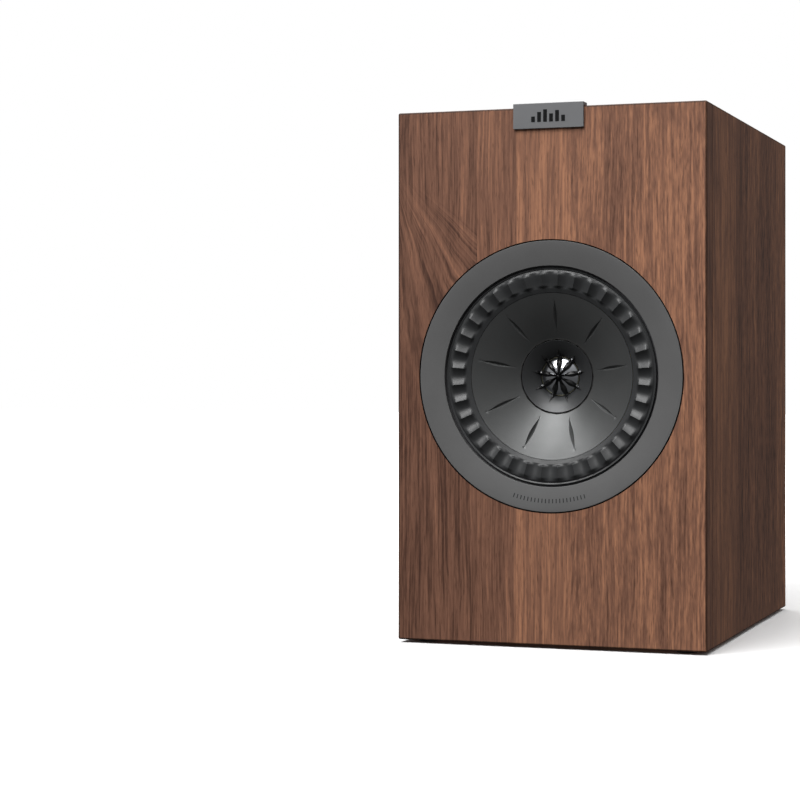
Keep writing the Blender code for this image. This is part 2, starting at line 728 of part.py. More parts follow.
def build_moving_woofer(looks, place):
    inner_flange = CONE_RADIUS + SURROUND_FLANGE_WIDTH
    outer_flange = SURROUND_RADIUS - SURROUND_FLANGE_WIDTH
    rise = SURROUND_LIP_DEPTH
    sink = CONE_EDGE_DEPTH
    middle = (inner_flange + outer_flange) / 2
    turned(
        "woofer_surround",
        [
            (SURROUND_RADIUS, rise),
            (outer_flange, rise + GAP),
            (middle, (rise + sink) / 2),
            (inner_flange, sink),
            (SURROUND_BORE, sink),
            (SURROUND_BORE, sink + SURROUND_THICKNESS),
            (inner_flange, sink + SURROUND_THICKNESS),
            (middle, (rise + sink) / 2 + SURROUND_THICKNESS),
            (outer_flange, RING_THICKNESS),
            (SURROUND_RADIUS, RING_THICKNESS),
        ],
        FINE,
        looks["surround_rubber"],
        place,
    )
    radii = [CONE_RADIUS + (CONE_BORE - CONE_RADIUS) * step / 4 for step in range(5)]
    front = [(radius, cone_depth(radius)) for radius in radii]
    back = [(radius, depth + CONE_THICKNESS) for radius, depth in reversed(front)]
    turned("woofer_cone", front + back, FINE, looks["cone_metal"], place)

    coil_start = COIL_CENTRE_DEPTH - COIL_LENGTH / 2
    coil_end = COIL_CENTRE_DEPTH + COIL_LENGTH / 2
    turned(
        "woofer_coil_former",
        ring_profile(FORMER_BORE, FORMER_RADIUS, CONE_NECK_DEPTH, coil_end),
        MEDIUM,
        looks["brown_former"],
        place,
    )
    turned(
        "woofer_voice_coil",
        ring_profile(COIL_BORE, COIL_RADIUS, coil_start, coil_end),
        MEDIUM,
        looks["copper"],
        place,
    )

    folds = 2 * SPIDER_WAVES
    bore = FORMER_RADIUS + GAP
    top = []
    for fold in range(folds):
        radius = bore + (CHASSIS_NECK_BORE - bore) * fold / folds
        top.append((radius, SPIDER_DEPTH + SPIDER_WAVE * (-1) ** fold))
    top.append((CHASSIS_NECK_BORE, SPIDER_DEPTH))
    top.append((SPIDER_RADIUS, SPIDER_DEPTH))
    under = [(radius, depth + SPIDER_THICKNESS) for radius, depth in reversed(top)]
    turned("spider", top + under, MEDIUM, looks["spider_cloth"], place)


def build_motor(looks, place):
    turned(
        "front_plate",
        ring_profile(PLATE_BORE, PLATE_RADIUS, PLATE_DEPTH, PLATE_DEPTH + PLATE_THICKNESS),
        MEDIUM,
        looks["steel"],
        place,
    )
    turned(
        "ferrite_magnet",
        ring_profile(MAGNET_BORE, MAGNET_RADIUS, MAGNET_DEPTH, MAGNET_DEPTH + MAGNET_THICKNESS),
        MEDIUM,
        looks["ferrite"],
        place,
    )
    turned(
        "rear_yoke",
        [
            (POLE_VENT_RADIUS, POLE_DEPTH),
            (POLE_RADIUS, POLE_DEPTH),
            (POLE_RADIUS, YOKE_DEPTH),
            (PLATE_RADIUS, YOKE_DEPTH),
            (PLATE_RADIUS, YOKE_BACK_DEPTH),
            (POLE_VENT_RADIUS, YOKE_BACK_DEPTH),
        ],
        MEDIUM,
        looks["steel"],
        place,
    )


# ---------------------------------------------------------------- tweeter


def waveguide_depth(radius):
    share = (radius - THROAT_RADIUS) / (WAVEGUIDE_RADIUS - THROAT_RADIUS)
    return THROAT_DEPTH - (THROAT_DEPTH - WAVEGUIDE_DEPTH) * share**WAVEGUIDE_FLARE


def dome_depth(radius):
    """Depth of the dome's front at a radius: a spherical cap."""
    ball = (DOME_RADIUS**2 + DOME_RISE**2) / (2 * DOME_RISE)
    return THROAT_DEPTH - DOME_RISE + ball - math.sqrt(ball**2 - radius**2)


def build_waveguide(looks, place):
    steps = 5
    profile = []
    for step in range(steps + 1):
        radius = THROAT_RADIUS + (WAVEGUIDE_RADIUS - THROAT_RADIUS) * step / steps
        profile.append((radius, waveguide_depth(radius)))
    pocket = SUSPENSION_RADIUS + GAP
    throat_back = THROAT_DEPTH + THROAT_LIP
    profile += [
        (WAVEGUIDE_RADIUS, WAVEGUIDE_BACK_DEPTH),
        (pocket, WAVEGUIDE_BACK_DEPTH),
        (pocket, throat_back),
        (THROAT_RADIUS, throat_back),
    ]
    turned("tweeter_waveguide", profile, FINE, looks["waveguide_grey"], place)


def build_moving_tweeter(looks, place):
    steps = 4
    outer = []
    for step in range(steps + 1):
        radius = DOME_RADIUS * step / steps
        outer.append((radius, dome_depth(radius)))
    skirt = THROAT_DEPTH + DOME_SKIRT
    inner_radius = DOME_RADIUS - DOME_THICKNESS
    inner = []
    for step in range(steps, -1, -1):
        radius = inner_radius * step / steps
        inner.append((radius, dome_depth(radius) + DOME_THICKNESS))
    profile = outer + [(DOME_RADIUS, skirt), (inner_radius, skirt)] + inner
    turned("tweeter_dome", profile, MEDIUM, looks["dome_aluminium"], place)
    turned(
        "tweeter_suspension",
        ring_profile(
            TWEETER_COIL_BORE,
            SUSPENSION_RADIUS,
            SUSPENSION_DEPTH,
            SUSPENSION_DEPTH + SUSPENSION_THICKNESS,
        ),
        MEDIUM,
        looks["surround_rubber"],
        place,
    )
    coil_start = skirt + GAP
    turned(
        "tweeter_voice_coil",
        ring_profile(
            TWEETER_COIL_BORE, TWEETER_COIL_RADIUS, coil_start, coil_start + TWEETER_COIL_LENGTH
        ),
        MEDIUM,
        looks["copper"],
        place,
    )


def build_tweeter_motor(looks, place):
    turned(
        "tweeter_top_plate",
        ring_profile(
            TWEETER_PLATE_BORE,
            TWEETER_PLATE_RADIUS,
            TWEETER_PLATE_DEPTH,
            TWEETER_PLATE_DEPTH + TWEETER_PLATE_THICKNESS,
        ),
        MEDIUM,
        looks["steel"],
        place,
    )
    turned(
        "tweeter_magnet",
        ring_profile(
            TWEETER_MAGNET_BORE,
            TWEETER_MAGNET_RADIUS,
            TWEETER_MAGNET_DEPTH,
            TWEETER_MAGNET_DEPTH + TWEETER_MAGNET_THICKNESS,
        ),
        MEDIUM,
        looks["neodymium"],
        place,
    )
    turned(
        "tweeter_yoke",
        [
            (TWEETER_VENT_RADIUS, TWEETER_PLATE_DEPTH),
            (TWEETER_POLE_RADIUS, TWEETER_PLATE_DEPTH),
            (TWEETER_POLE_RADIUS, TWEETER_YOKE_DEPTH),
            (TWEETER_PLATE_RADIUS, TWEETER_YOKE_DEPTH),
            (TWEETER_PLATE_RADIUS, TWEETER_BACK_DEPTH),
            (TWEETER_VENT_RADIUS, TWEETER_BACK_DEPTH),
        ],
        MEDIUM,
        looks["steel"],
        place,
    )
    tube_radius = POLE_VENT_RADIUS - GAP
    turned(
        "tweeter_damping_tube",
        ring_profile(
            tube_radius - DAMPING_TUBE_WALL,
            tube_radius,
            POLE_DEPTH,
            POLE_DEPTH + DAMPING_TUBE_LENGTH,
        ),
        COARSE,
        looks["black_plastic"],
        place,
    )


def plug_back(radius):
    """The phase plug's rear face follows the dome, then the waveguide, at a clearance."""
    if radius <= DOME_RADIUS:
        return dome_depth(radius) - PLUG_DOME_CLEARANCE
    return waveguide_depth(radius) - GAP


def plug_point(fin_angle, radius, side, depth):
    x = radius * math.cos(fin_angle) - side * math.sin(fin_angle)
    z = radius * math.sin(fin_angle) + side * math.cos(fin_angle)
    return (x, depth, z)


def build_phase_plug(looks, place):
    """A hub in front of the dome with pointed leaf-shaped fins that reach the waveguide."""
    shape = bmesh.new()
    pitch = 2 * math.pi / PLUG_FINS
    start = math.pi / 2
    hub = [PLUG_TIP_DEPTH, plug_back(0.0)]
    hub_rim = [PLUG_TIP_DEPTH + PLUG_HUB_RADIUS / 2, plug_back(PLUG_HUB_RADIUS)]
    centre = [shape.verts.new((0.0, depth, 0.0)) for depth in hub]
    valleys = []
    for index in range(PLUG_FINS):
        angle = start + pitch * (index - 0.5)
        pair = [shape.verts.new(plug_point(angle, PLUG_HUB_RADIUS, 0.0, depth)) for depth in hub_rim]
        valleys.append(pair)
    for index in range(PLUG_FINS):
        angle = start + pitch * index
        rows = [(valleys[index], valleys[(index + 1) % PLUG_FINS])]
        for radius, half_width in PLUG_STATIONS:
            true_radius = math.hypot(radius, half_width)
            back = plug_back(min(true_radius, DOME_RADIUS))
            depths = (back - PLUG_THICKNESS, back)
            left = [shape.verts.new(plug_point(angle, radius, -half_width, d)) for d in depths]
            right = [shape.verts.new(plug_point(angle, radius, half_width, d)) for d in depths]
            rows.append((left, right))
        tip_back = plug_back(PLUG_REACH)
        tip_depths = (tip_back - PLUG_THICKNESS / 2, tip_back)
        tip = [shape.verts.new(plug_point(angle, PLUG_REACH, 0.0, d)) for d in tip_depths]
        for face in (0, 1):
            shape.faces.new((centre[face], rows[0][0][face], rows[0][1][face]))
            for (left, right), (next_left, next_right) in zip(rows, rows[1:]):
                shape.faces.new((left[face], next_left[face], next_right[face], right[face]))
            shape.faces.new((rows[-1][0][face], tip[face], rows[-1][1][face]))
        for side in (0, 1):
            outline = [row[side] for row in rows] + [tip]
            for first, second in zip(outline, outline[1:]):
                shape.faces.new((first[0], second[0], second[1], first[1]))
    add_object("phase_plug", shape, looks["black_plastic"], place)


# ---------------------------------------------------------------- port


def build_port(looks):
    """Outer flare with its flange on the rear panel, and the tube with a flared tail inside."""
    place = (0.0, BACK_Y, PORT_Z)
    steps = 5
    flare = []
    for step in range(steps + 1):
        turn = math.pi / 2 * step / steps
        radius = PORT_RADIUS + (PORT_MOUTH_RADIUS - PORT_RADIUS) * (1.0 - math.cos(turn))
        depth = -PORT_FLARE_LENGTH + (PORT_FLARE_LENGTH + PORT_FLANGE_PROUD) * math.sin(turn)
        flare.append((radius, depth))
    neck = PORT_RADIUS + PORT_WALL
    lip = PORT_FLANGE_PROUD - PORT_WALL / 4
    turned(
        "port_outer_flare",
        [(PORT_RADIUS, -PORT_JOINT_DEPTH)]
        + flare
        + [
            (PORT_FLANGE_RADIUS, lip),
            (PORT_FLANGE_RADIUS, GAP),
            (PORT_BODY_RADIUS, GAP),
            (PORT_BODY_RADIUS, -PORT_FLARE_LENGTH / 2),
            (neck, -PORT_FLARE_LENGTH),
            (neck, -PORT_JOINT_DEPTH),
        ],
        FINE,
        looks["black_plastic"],
        place,
    )
    tail = []
    tail_steps = 4
    for step in range(tail_steps + 1):
        turn = math.pi / 2 * step / tail_steps
        radius = PORT_RADIUS + (PORT_TAIL_RADIUS - PORT_RADIUS) * (1.0 - math.cos(turn))
        depth = -PORT_LENGTH + PORT_TAIL_LENGTH * (1.0 - math.sin(turn))
        tail.append((radius, depth))
    outer_tail = [(radius + PORT_WALL, depth) for radius, depth in reversed(tail)]
    turned(
        "port_tube",
        [(PORT_RADIUS, -PORT_JOINT_DEPTH - GAP)]
        + tail
        + outer_tail
        + [(neck, -PORT_JOINT_DEPTH - GAP)],
        MEDIUM,
        looks["black_plastic"],
        place,
    )


# ---------------------------------------------------------------- terminals


def terminal_screw_places():
    return [(sx * SCREW_X, TERMINAL_Z + sz * SCREW_Z) for sx in (-1, 1) for sz in (-1, 1)]


def build_terminal_plate(looks, rear):
    place = (0.0, BACK_Y, TERMINAL_Z)
    plate = slab(
        "terminal_plate",
        round_rectangle(TERMINAL_WIDTH, TERMINAL_TALL, TERMINAL_CORNER),
        PLATE_BACK,
        PLATE_FRONT,
        looks["black_plastic"],
        place,
    )
    gasket = slab(
        "terminal_gasket",
        round_rectangle(TERMINAL_WIDTH - TERMINAL_GASKET, TERMINAL_TALL - TERMINAL_GASKET, TERMINAL_CORNER),
        GAP,
        GAP + TERMINAL_GASKET,
        looks["foam"],
        place,
    )
    post_holes = holes_along_y(
        "post_holes",
        POST_HOLE_RADIUS,
        BACK_Y,
        BACK_Y + PLATE_FRONT + TERMINAL_THICKNESS,
        [(-POST_X, TERMINAL_Z), (POST_X, TERMINAL_Z)],
        COARSE,
    )
    window = box(
        "terminal_gasket_window",
        (-TERMINAL_POCKET_WIDTH / 2, BACK_Y - GAP, TERMINAL_Z - TERMINAL_POCKET_TALL / 2),
        (TERMINAL_POCKET_WIDTH / 2, BACK_Y + PLATE_BACK, TERMINAL_Z + TERMINAL_POCKET_TALL / 2),
    )
    screw_holes = holes_along_y(
        "terminal_screw_holes",
        TERMINAL_SCREW_RADIUS + SCREW_CLEARANCE,
        BACK_Y + PLATE_FRONT - TERMINAL_SCREW_LENGTH - GAP,
        BACK_Y + PLATE_FRONT + TERMINAL_THICKNESS,
        terminal_screw_places(),
    )
    cut(plate, post_holes, screw_holes)
    cut(gasket, as_cutter(window), screw_holes)
    cut(rear, screw_holes)
    for index, (x, z) in enumerate(terminal_screw_places()):
        screw(
            f"terminal_screw_{index + 1}",
            TERMINAL_SCREW_RADIUS,
            -TERMINAL_SCREW_LENGTH,
            TERMINAL_SCREW_HEAD_RADIUS,
            TERMINAL_SCREW_HEAD,
            PLATE_FRONT + GAP,
            looks["screw_black"],
            (x, BACK_Y, z),
        )


def build_post(side, x, plastic, looks):
    """One binding post: insulating collar, hollow stud, captive clamp washer and screwed cap."""
    place = (x, BACK_Y, TERMINAL_Z)
    bore = POST_HOLE_RADIUS
    turned(
        f"{side}_post_collar",
        ring_profile(bore, COLLAR_RADIUS, COLLAR_START, COLLAR_START + COLLAR_LENGTH),
        COARSE,
        plastic,
        place,
    )
    stud = turned(
        f"{side}_post_stud",
        [
            (0.0, -POST_INNER_REACH),
            (POST_RADIUS, -POST_INNER_REACH),
            (POST_RADIUS, POST_REACH),
            (POST_SOCKET_RADIUS, POST_REACH),
            (POST_SOCKET_RADIUS, POST_REACH - POST_SOCKET_DEPTH),
            (0.0, POST_REACH - POST_SOCKET_DEPTH),
        ],
        COARSE,
        looks["brass"],
        place,
    )
    shape = bmesh.new()
    hole_y = BACK_Y + CLAMP_START + CLAMP_WASHER_LENGTH / 2
    bmesh.ops.create_cone(
        shape,
        cap_ends=True,
        segments=10,
        radius1=POST_WIRE_HOLE_RADIUS,
        radius2=POST_WIRE_HOLE_RADIUS,
        depth=4 * POST_RADIUS,
        matrix=Matrix.Translation((x, hole_y, TERMINAL_Z)),
    )
    cut(stud, as_cutter(add_object(f"{side}_wire_hole", shape)))
    turned(
        f"{side}_clamp_washer",
        ring_profile(bore, CLAMP_WASHER_RADIUS, CLAMP_START, CLAMP_START + CLAMP_WASHER_LENGTH),
        COARSE,
        looks["brass"],
        place,
    )
    chamfer = CAP_RADIUS / 8
    end = CAP_START + CAP_LENGTH
    turned(
        f"{side}_post_cap",
        [
            (bore, CAP_START),
            (CAP_RADIUS, CAP_START),
            (CAP_RADIUS, end - chamfer),
            (CAP_RADIUS - chamfer, end),
            (bore, end),
        ],
        COARSE,
        plastic,
        place,
    )


# ---------------------------------------------------------------- crossover


def inductor_profile(radius, height):
    flange = height / 12
    winding = radius - height / 12
    return [
        (INDUCTOR_BORE, 0.0),
        (radius, 0.0),
        (radius, flange),
        (winding, flange),
        (winding, height - flange),
        (radius, height - flange),
        (radius, height),
        (INDUCTOR_BORE, height),
    ]


def capacitor_profile(radius, length):
    chamfer = radius / 8
    half = length / 2
    return [
        (0.0, -half),
        (radius - chamfer, -half),
        (radius, chamfer - half),
        (radius, half - chamfer),
        (radius - chamfer, half),
        (0.0, half),
    ]


def build_crossover(looks):
    board_back = BACK_Y - REAR_THICKNESS - BOARD_REAR_MARGIN
    board_y = board_back - BOARD_DEPTH / 2
    board_low = FLOOR_Z + GAP
    board_high = board_low + BOARD_THICKNESS
    box(
        "crossover_board",
        (-BOARD_WIDTH / 2, board_y - BOARD_DEPTH / 2, board_low),
        (BOARD_WIDTH / 2, board_back, board_high),
        looks["board_green"],
    )
    rest = board_high + GAP
    upright = (math.radians(90.0), 0.0, 0.0)
    sideways = (0.0, 0.0, math.radians(-90.0))
    left = -BOARD_WIDTH / 4
    right = BOARD_WIDTH / 4
    front = board_y - BOARD_DEPTH / 4
    back = board_y + BOARD_DEPTH / 4
    turned(
        "woofer_inductor",
        inductor_profile(WOOFER_COIL_RADIUS, WOOFER_COIL_HEIGHT),
        COARSE,
        looks["copper"],
        (left, front, rest),
        upright,
    )
    turned(
        "tweeter_inductor",
        inductor_profile(TWEETER_COIL_RADIUS, TWEETER_COIL_HEIGHT),
        COARSE,
        looks["copper"],
        (right, back, rest),
        upright,
    )
    turned(
        "woofer_capacitor",
        capacitor_profile(WOOFER_CAP_RADIUS, WOOFER_CAP_LENGTH),
        COARSE,
        looks["black_plastic"],
        (left, back, rest + WOOFER_CAP_RADIUS),
        sideways,
    )
    turned(
        "tweeter_capacitor",
        capacitor_profile(TWEETER_CAP_RADIUS, TWEETER_CAP_LENGTH),
        COARSE,
        looks["capacitor_film"],
        (right, front, rest + TWEETER_CAP_RADIUS),
        sideways,
    )
    resistor_y = front - TWEETER_CAP_RADIUS - COMPONENT_SPACING - RESISTOR_SIDE / 2
    box(
        "tweeter_resistor",
        (right - RESISTOR_LENGTH / 2, resistor_y - RESISTOR_SIDE / 2, rest),
        (right + RESISTOR_LENGTH / 2, resistor_y + RESISTOR_SIDE / 2, rest + RESISTOR_SIDE),
        looks["resistor_white"],
    )


# ---------------------------------------------------------------- assembly


def main():
    clear_scene()
    looks = all_materials()
    driver_place = (0.0, FRONT_Y, DRIVER_Z)
    baffle, rear = build_cabinet(looks)
    build_feet(looks)
    build_badge(looks)
    build_brace(looks)
    build_trim_ring(looks, driver_place)
    build_chassis(looks, driver_place, baffle)
    build_moving_woofer(looks, driver_place)
    build_motor(looks, driver_place)
    build_waveguide(looks, driver_place)
    build_moving_tweeter(looks, driver_place)
    build_tweeter_motor(looks, driver_place)
    build_phase_plug(looks, driver_place)
    build_port(looks)
    build_terminal_plate(looks, rear)
    build_post("red", POST_X, looks["red_plastic"], looks)
    build_post("black", -POST_X, looks["black_plastic"], looks)
    build_crossover(looks)


main()
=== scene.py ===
"""Looks of a two-way bookshelf speaker: veneer, rubber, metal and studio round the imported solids.

Frame: +X to the right seen from the front, +Y into the cabinet, +Z up. Metres.
"""

import math

import bmesh
import bpy
from mathutils import Matrix, Vector


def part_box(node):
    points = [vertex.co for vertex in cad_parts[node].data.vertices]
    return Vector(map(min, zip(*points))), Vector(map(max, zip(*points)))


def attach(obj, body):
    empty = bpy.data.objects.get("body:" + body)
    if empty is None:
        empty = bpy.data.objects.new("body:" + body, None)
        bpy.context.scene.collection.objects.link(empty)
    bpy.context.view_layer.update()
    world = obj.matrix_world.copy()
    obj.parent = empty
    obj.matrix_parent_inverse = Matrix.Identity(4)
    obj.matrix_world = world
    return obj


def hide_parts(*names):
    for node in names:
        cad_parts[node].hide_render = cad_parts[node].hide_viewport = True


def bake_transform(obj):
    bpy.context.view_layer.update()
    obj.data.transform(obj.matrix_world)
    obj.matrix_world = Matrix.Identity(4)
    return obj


bl_info = {
    "name": "Bookshelf Speaker Looks",
    "version": (1, 0, 0),
    "blender": (4, 5, 0),
    "location": "View3D > Sidebar > Speaker",
    "description": "Builds the visible pieces, finishes and studio of a two-way bookshelf speaker",
    "category": "Object",
}

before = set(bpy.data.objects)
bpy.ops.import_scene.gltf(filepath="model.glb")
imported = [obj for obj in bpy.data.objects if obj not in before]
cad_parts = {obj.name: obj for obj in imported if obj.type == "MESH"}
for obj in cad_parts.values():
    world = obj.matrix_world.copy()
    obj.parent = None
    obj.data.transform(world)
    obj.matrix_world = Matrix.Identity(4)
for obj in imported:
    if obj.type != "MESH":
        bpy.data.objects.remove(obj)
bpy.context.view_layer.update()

# ---------------------------------------------------------------- measures taken from the solids

MM = 0.001
BAFFLE_LOW, BAFFLE_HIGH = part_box("front_baffle")
LEFT_LOW, LEFT_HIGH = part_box("left_side_panel")
REAR_LOW, REAR_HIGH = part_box("rear_panel")
FRONT_Y = BAFFLE_LOW.y
BACK_Y = REAR_HIGH.y


def half_width(node):
    low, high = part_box(node)
    return (high.x - low.x) / 2


def centre_of(node):
    low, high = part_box(node)
    return (low + high) / 2


def depths_of(node):
    """How far a node's front and back lie behind the baffle's face."""
    low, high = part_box(node)
    return low.y - FRONT_Y, high.y - FRONT_Y


def heights_of(node):
    """How far a node's near and far faces stand behind the cabinet's rear face."""
    low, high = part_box(node)
    return low.y - BACK_Y, high.y - BACK_Y


def smoothstep(low, high, value):
    share = min(max((value - low) / (high - low), 0.0), 1.0)
    return share * share * (3 - 2 * share)


DRIVER = Vector((0.0, FRONT_Y, centre_of("trim_ring").z))
PORT = Vector((0.0, BACK_Y, centre_of("port_outer_flare").z))
TERMINAL = Vector((0.0, BACK_Y, centre_of("terminal_plate").z))
RING_RADIUS = half_width("trim_ring")
RING_THICKNESS = depths_of("trim_ring")[1]
SURROUND_RADIUS = half_width("woofer_surround")
CONE_RADIUS = half_width("woofer_cone")
CONE_EDGE_DEPTH = depths_of("woofer_cone")[0]
WAVEGUIDE_RADIUS = half_width("tweeter_waveguide")
WAVEGUIDE_DEPTH, WAVEGUIDE_BACK = depths_of("tweeter_waveguide")
DOME_RADIUS = half_width("tweeter_dome")
DOME_APEX, DOME_BACK = depths_of("tweeter_dome")
CABINET_WIDTH = BAFFLE_HIGH.x - BAFFLE_LOW.x
CABINET_DEPTH = BACK_Y - FRONT_Y
PORT_SPIGOT = 33.0 * MM  # radius of the flare's spigot in the rear panel
SCREW_BORE = 1.9 * MM  # radius of the holes for the terminal plate's screws
POST_BORE = 3.35 * MM  # radius of what slips over a post's stud
TERMINAL_SCREWS = [f"terminal_screw_{k}" for k in range(1, 5)]
SCREW_PLACES = [(centre_of(node).x, centre_of(node).z) for node in TERMINAL_SCREWS]
POST_PLACES = {
    side: Vector((centre_of(f"{side}_post_stud").x, BACK_Y, TERMINAL.z)) for side in ("red", "black")
}

# ---------------------------------------------------------------- property groups


def length(name, default, description):
    return bpy.props.FloatProperty(
        name=name, description=description, default=default, unit="LENGTH", precision=5
    )


def angle(name, degrees, description):
    return bpy.props.FloatProperty(
        name=name, description=description, default=math.radians(degrees), subtype="ANGLE"
    )


def count(name, default, description):
    return bpy.props.IntProperty(name=name, description=description, default=default, min=1)


def linear(display):
    """The linear value of a display level from 0 to 255."""
    level = display / 255
    return level / 12.92 if level <= 0.04045 else ((level + 0.055) / 1.055) ** 2.4


def rgb(*display):
    return tuple(linear(level) for level in display)


def opaque(*display):
    return (*rgb(*display), 1.0)


def colour(name, display, description):
    return bpy.props.FloatVectorProperty(
        name=name, description=description, default=rgb(*display), subtype="COLOR", min=0, max=1
    )


class SpeakerCabinetSizes(bpy.types.PropertyGroup):
    edge_round: length("Edge round", 1.0 * MM, "Radius along the cabinet's outer edges")
    seam_round: length("Seam round", 0.25 * MM, "Radius where the baffle meets the carcass")
    veneer_dark: colour("Veneer dark", (66, 42, 33), "Late wood and pores")
    veneer_middle: colour("Veneer middle", (126, 88, 70), "Ground tone of the veneer")
    veneer_light: colour("Veneer light", (176, 124, 94), "Early wood")
    # Painted shade: the share of the veneer's colours kept on the rounded edges, which are darker for the
    # shade along the bevels
    edge_shade: bpy.props.FloatProperty(
        name="Edge shade", description="Darkening of the rounded edges", default=0.34, min=0, max=1
    )
    badge_round: length("Badge round", 0.28 * MM, "Radius along the badge plate's edges")
    emblem_height: length("Emblem height", 7.0 * MM, "Height of the tallest bar on the badge")


class SpeakerDriverSizes(bpy.types.PropertyGroup):
    ring_bore: length("Ring bore", 62.4 * MM, "Inner radius of the trim ring")
    ring_dish: length("Ring dish", 1.7 * MM, "How deep the trim ring's bore lies behind its edge")
    mark_count: count("Ring marks", 21, "Plain tick marks along the ring's lower edge")
    rib_count: count("Ribs", 36, "Radial ribs round the surround")
    rib_height: length("Rib height", 2.0 * MM, "Height of a rib's crest over the scallops")
    rib_start: length("Rib start", 59.6 * MM, "Radius where the ribs rise")
    rib_end: length("Rib end", 49.7 * MM, "Radius where the ribs fall to the inner flange")
    crease_count: count("Creases", 9, "Pressed creases round the cone")
    crease_depth: length("Crease depth", 1.3 * MM, "Depth of a crease at its middle")
    crease_width: length("Crease width", 2.3 * MM, "Width of a crease at its middle")
    fin_count: count("Fins", 9, "Pointed fins of the phase plug")


class SpeakerRearSizes(bpy.types.PropertyGroup):
    port_bore: length("Port bore", 23.5 * MM, "Inner radius of the port tube")
    flute_count: count("Flutes", 24, "Grip flutes round each post cap")
    flute_depth: length("Flute depth", 0.45 * MM, "Depth of a grip flute")
    thread_pitch: length("Thread pitch", 1.0 * MM, "Rise of the posts' thread in one turn")
    thread_depth: length("Thread depth", 0.28 * MM, "Depth of the posts' thread")


class SpeakerStageSizes(bpy.types.PropertyGroup):
    floor_size: length("Floor size", 14.0, "Side of the square floor")
    floor_colour: colour("Floor colour", (246, 246, 246), "Pale floor")
    camera_place: bpy.props.FloatVectorProperty(
        name="Camera place",
        description="Where the camera stands",
        default=(0.3346, -1.31605, 0.1547),
        subtype="TRANSLATION",
    )
    camera_turn: angle("Camera turn", 19.76, "Turn of the level camera to the left")
    camera_lens: bpy.props.FloatProperty(
        name="Lens", description="Focal length in millimetres", default=97.86, subtype="NONE"
    )
    camera_rise: bpy.props.FloatProperty(
        name="Rise", description="Vertical shift of the view, in frame widths", default=-0.0327
    )


# ---------------------------------------------------------------- node building


class Net:
    """Adds nodes to a tree and joins them, so that a network reads as a list of steps."""

    def __init__(self, tree):
        self.tree = tree

    def node(self, kind, **settings):
        made = self.tree.nodes.new(kind)
        for name, value in settings.items():
            setattr(made, name, value)
        return made

    def feed(self, socket, value):
        if isinstance(value, bpy.types.NodeSocket):
            self.tree.links.new(value, socket)
        elif value is not None:
            socket.default_value = value

    def maths(self, operation, *values):
        made = self.node("ShaderNodeMath", operation=operation)
        for socket, value in zip(made.inputs, values):
            self.feed(socket, value)
        return made.outputs[0]

    def scaled(self, value, factor, centre=0.0):
        """(value - centre) x factor"""
        return self.maths("MULTIPLY", self.maths("SUBTRACT", value, centre), factor)

    def total(self, first, *others):
        for other in others:
            first = self.maths("ADD", first, other)
        return first

    def step(self, value, start, end):
        made = self.node("ShaderNodeMapRange", interpolation_type="SMOOTHSTEP")
        self.feed(made.inputs["Value"], value)
        self.feed(made.inputs["From Min"], start)
        self.feed(made.inputs["From Max"], end)
        return made.outputs[0]

    def vector(self, *parts):
        made = self.node("ShaderNodeCombineXYZ")
        for socket, value in zip(made.inputs, parts):
            self.feed(socket, value)
        return made.outputs[0]

    def parts(self, vector):
        made = self.node("ShaderNodeSeparateXYZ")
        self.feed(made.inputs[0], vector)
        return made.outputs

    def noise(self, vector, scale=1.0, detail=2.0, roughness=0.5):
        made = self.node("ShaderNodeTexNoise")
        self.feed(made.inputs["Vector"], vector)
        self.feed(made.inputs["Scale"], scale)
        made.inputs["Detail"].default_value = detail
        made.inputs["Roughness"].default_value = roughness
        return made.outputs[0]

    def mix(self, factor, first, second):
        made = self.node("ShaderNodeMix", data_type="RGBA")
        self.feed(made.inputs["Factor"], factor)
        self.feed(made.inputs[6], first)
        self.feed(made.inputs[7], second)
        return made.outputs[2]

    def ramp(self, factor, stops, interpolation="LINEAR"):
        made = self.node("ShaderNodeValToRGB")
        ramp = made.color_ramp
        ramp.interpolation = interpolation
        while len(ramp.elements) < len(stops):
            ramp.elements.new(0.5)
        for element, (place, level) in zip(ramp.elements, stops):
            element.position = place
            element.color = (level, level, level, 1.0)
        self.feed(made.inputs[0], factor)
        return made.outputs[0]

    def group(self, tree, **values):
        made = self.node("ShaderNodeGroup", node_tree=tree)
        for name, value in values.items():
            self.feed(made.inputs[name.replace("_", " ")], value)
        return made.outputs


FLOAT = "NodeSocketFloat"
VECTOR = "NodeSocketVector"
COLOUR = "NodeSocketColor"
groups = {}
looks = {}


def open_group(name, inputs, outputs):
    """A new shader group with these sockets: its net, its inputs and its output node."""
    tree = bpy.data.node_groups.new(name, "ShaderNodeTree")
    for label, kind in inputs:
        tree.interface.new_socket(label, in_out="INPUT", socket_type=kind)
    for label, kind in outputs:
        tree.interface.new_socket(label, in_out="OUTPUT", socket_type=kind)
    net = Net(tree)
    start = net.node("NodeGroupInput")
    end = net.node("NodeGroupOutput")
    groups[name] = tree
    return net, start.outputs, end.inputs


def build_mottle_group():
    """Slow patches and fine grain: the common ground of plastics, paints, rubbers and metals."""
    net, given, out = open_group(
        "Mottle",
        [
            ("Vector", VECTOR),
            ("Base", COLOUR),
            ("Shade", COLOUR),
            ("Patch Scale", FLOAT),
            ("Grain Scale", FLOAT),
            ("Roughness", FLOAT),
            ("Spread", FLOAT),
        ],
        [("Colour", COLOUR), ("Roughness", FLOAT), ("Height", FLOAT)],
    )
    patch = net.noise(given["Vector"], given["Patch Scale"], 3.0)
    grain = net.noise(given["Vector"], given["Grain Scale"], 2.0, 0.6)
    both = net.total(net.scaled(patch, 1.5, 0.5), net.scaled(grain, 1.2, 0.5), 0.5)
    net.feed(out["Colour"], net.mix(both, given["Base"], given["Shade"]))
    change = net.maths("MULTIPLY", net.maths("SUBTRACT", both, 0.5), given["Spread"])
    net.feed(out["Roughness"], net.maths("ADD", given["Roughness"], change))
    net.feed(out["Height"], grain)


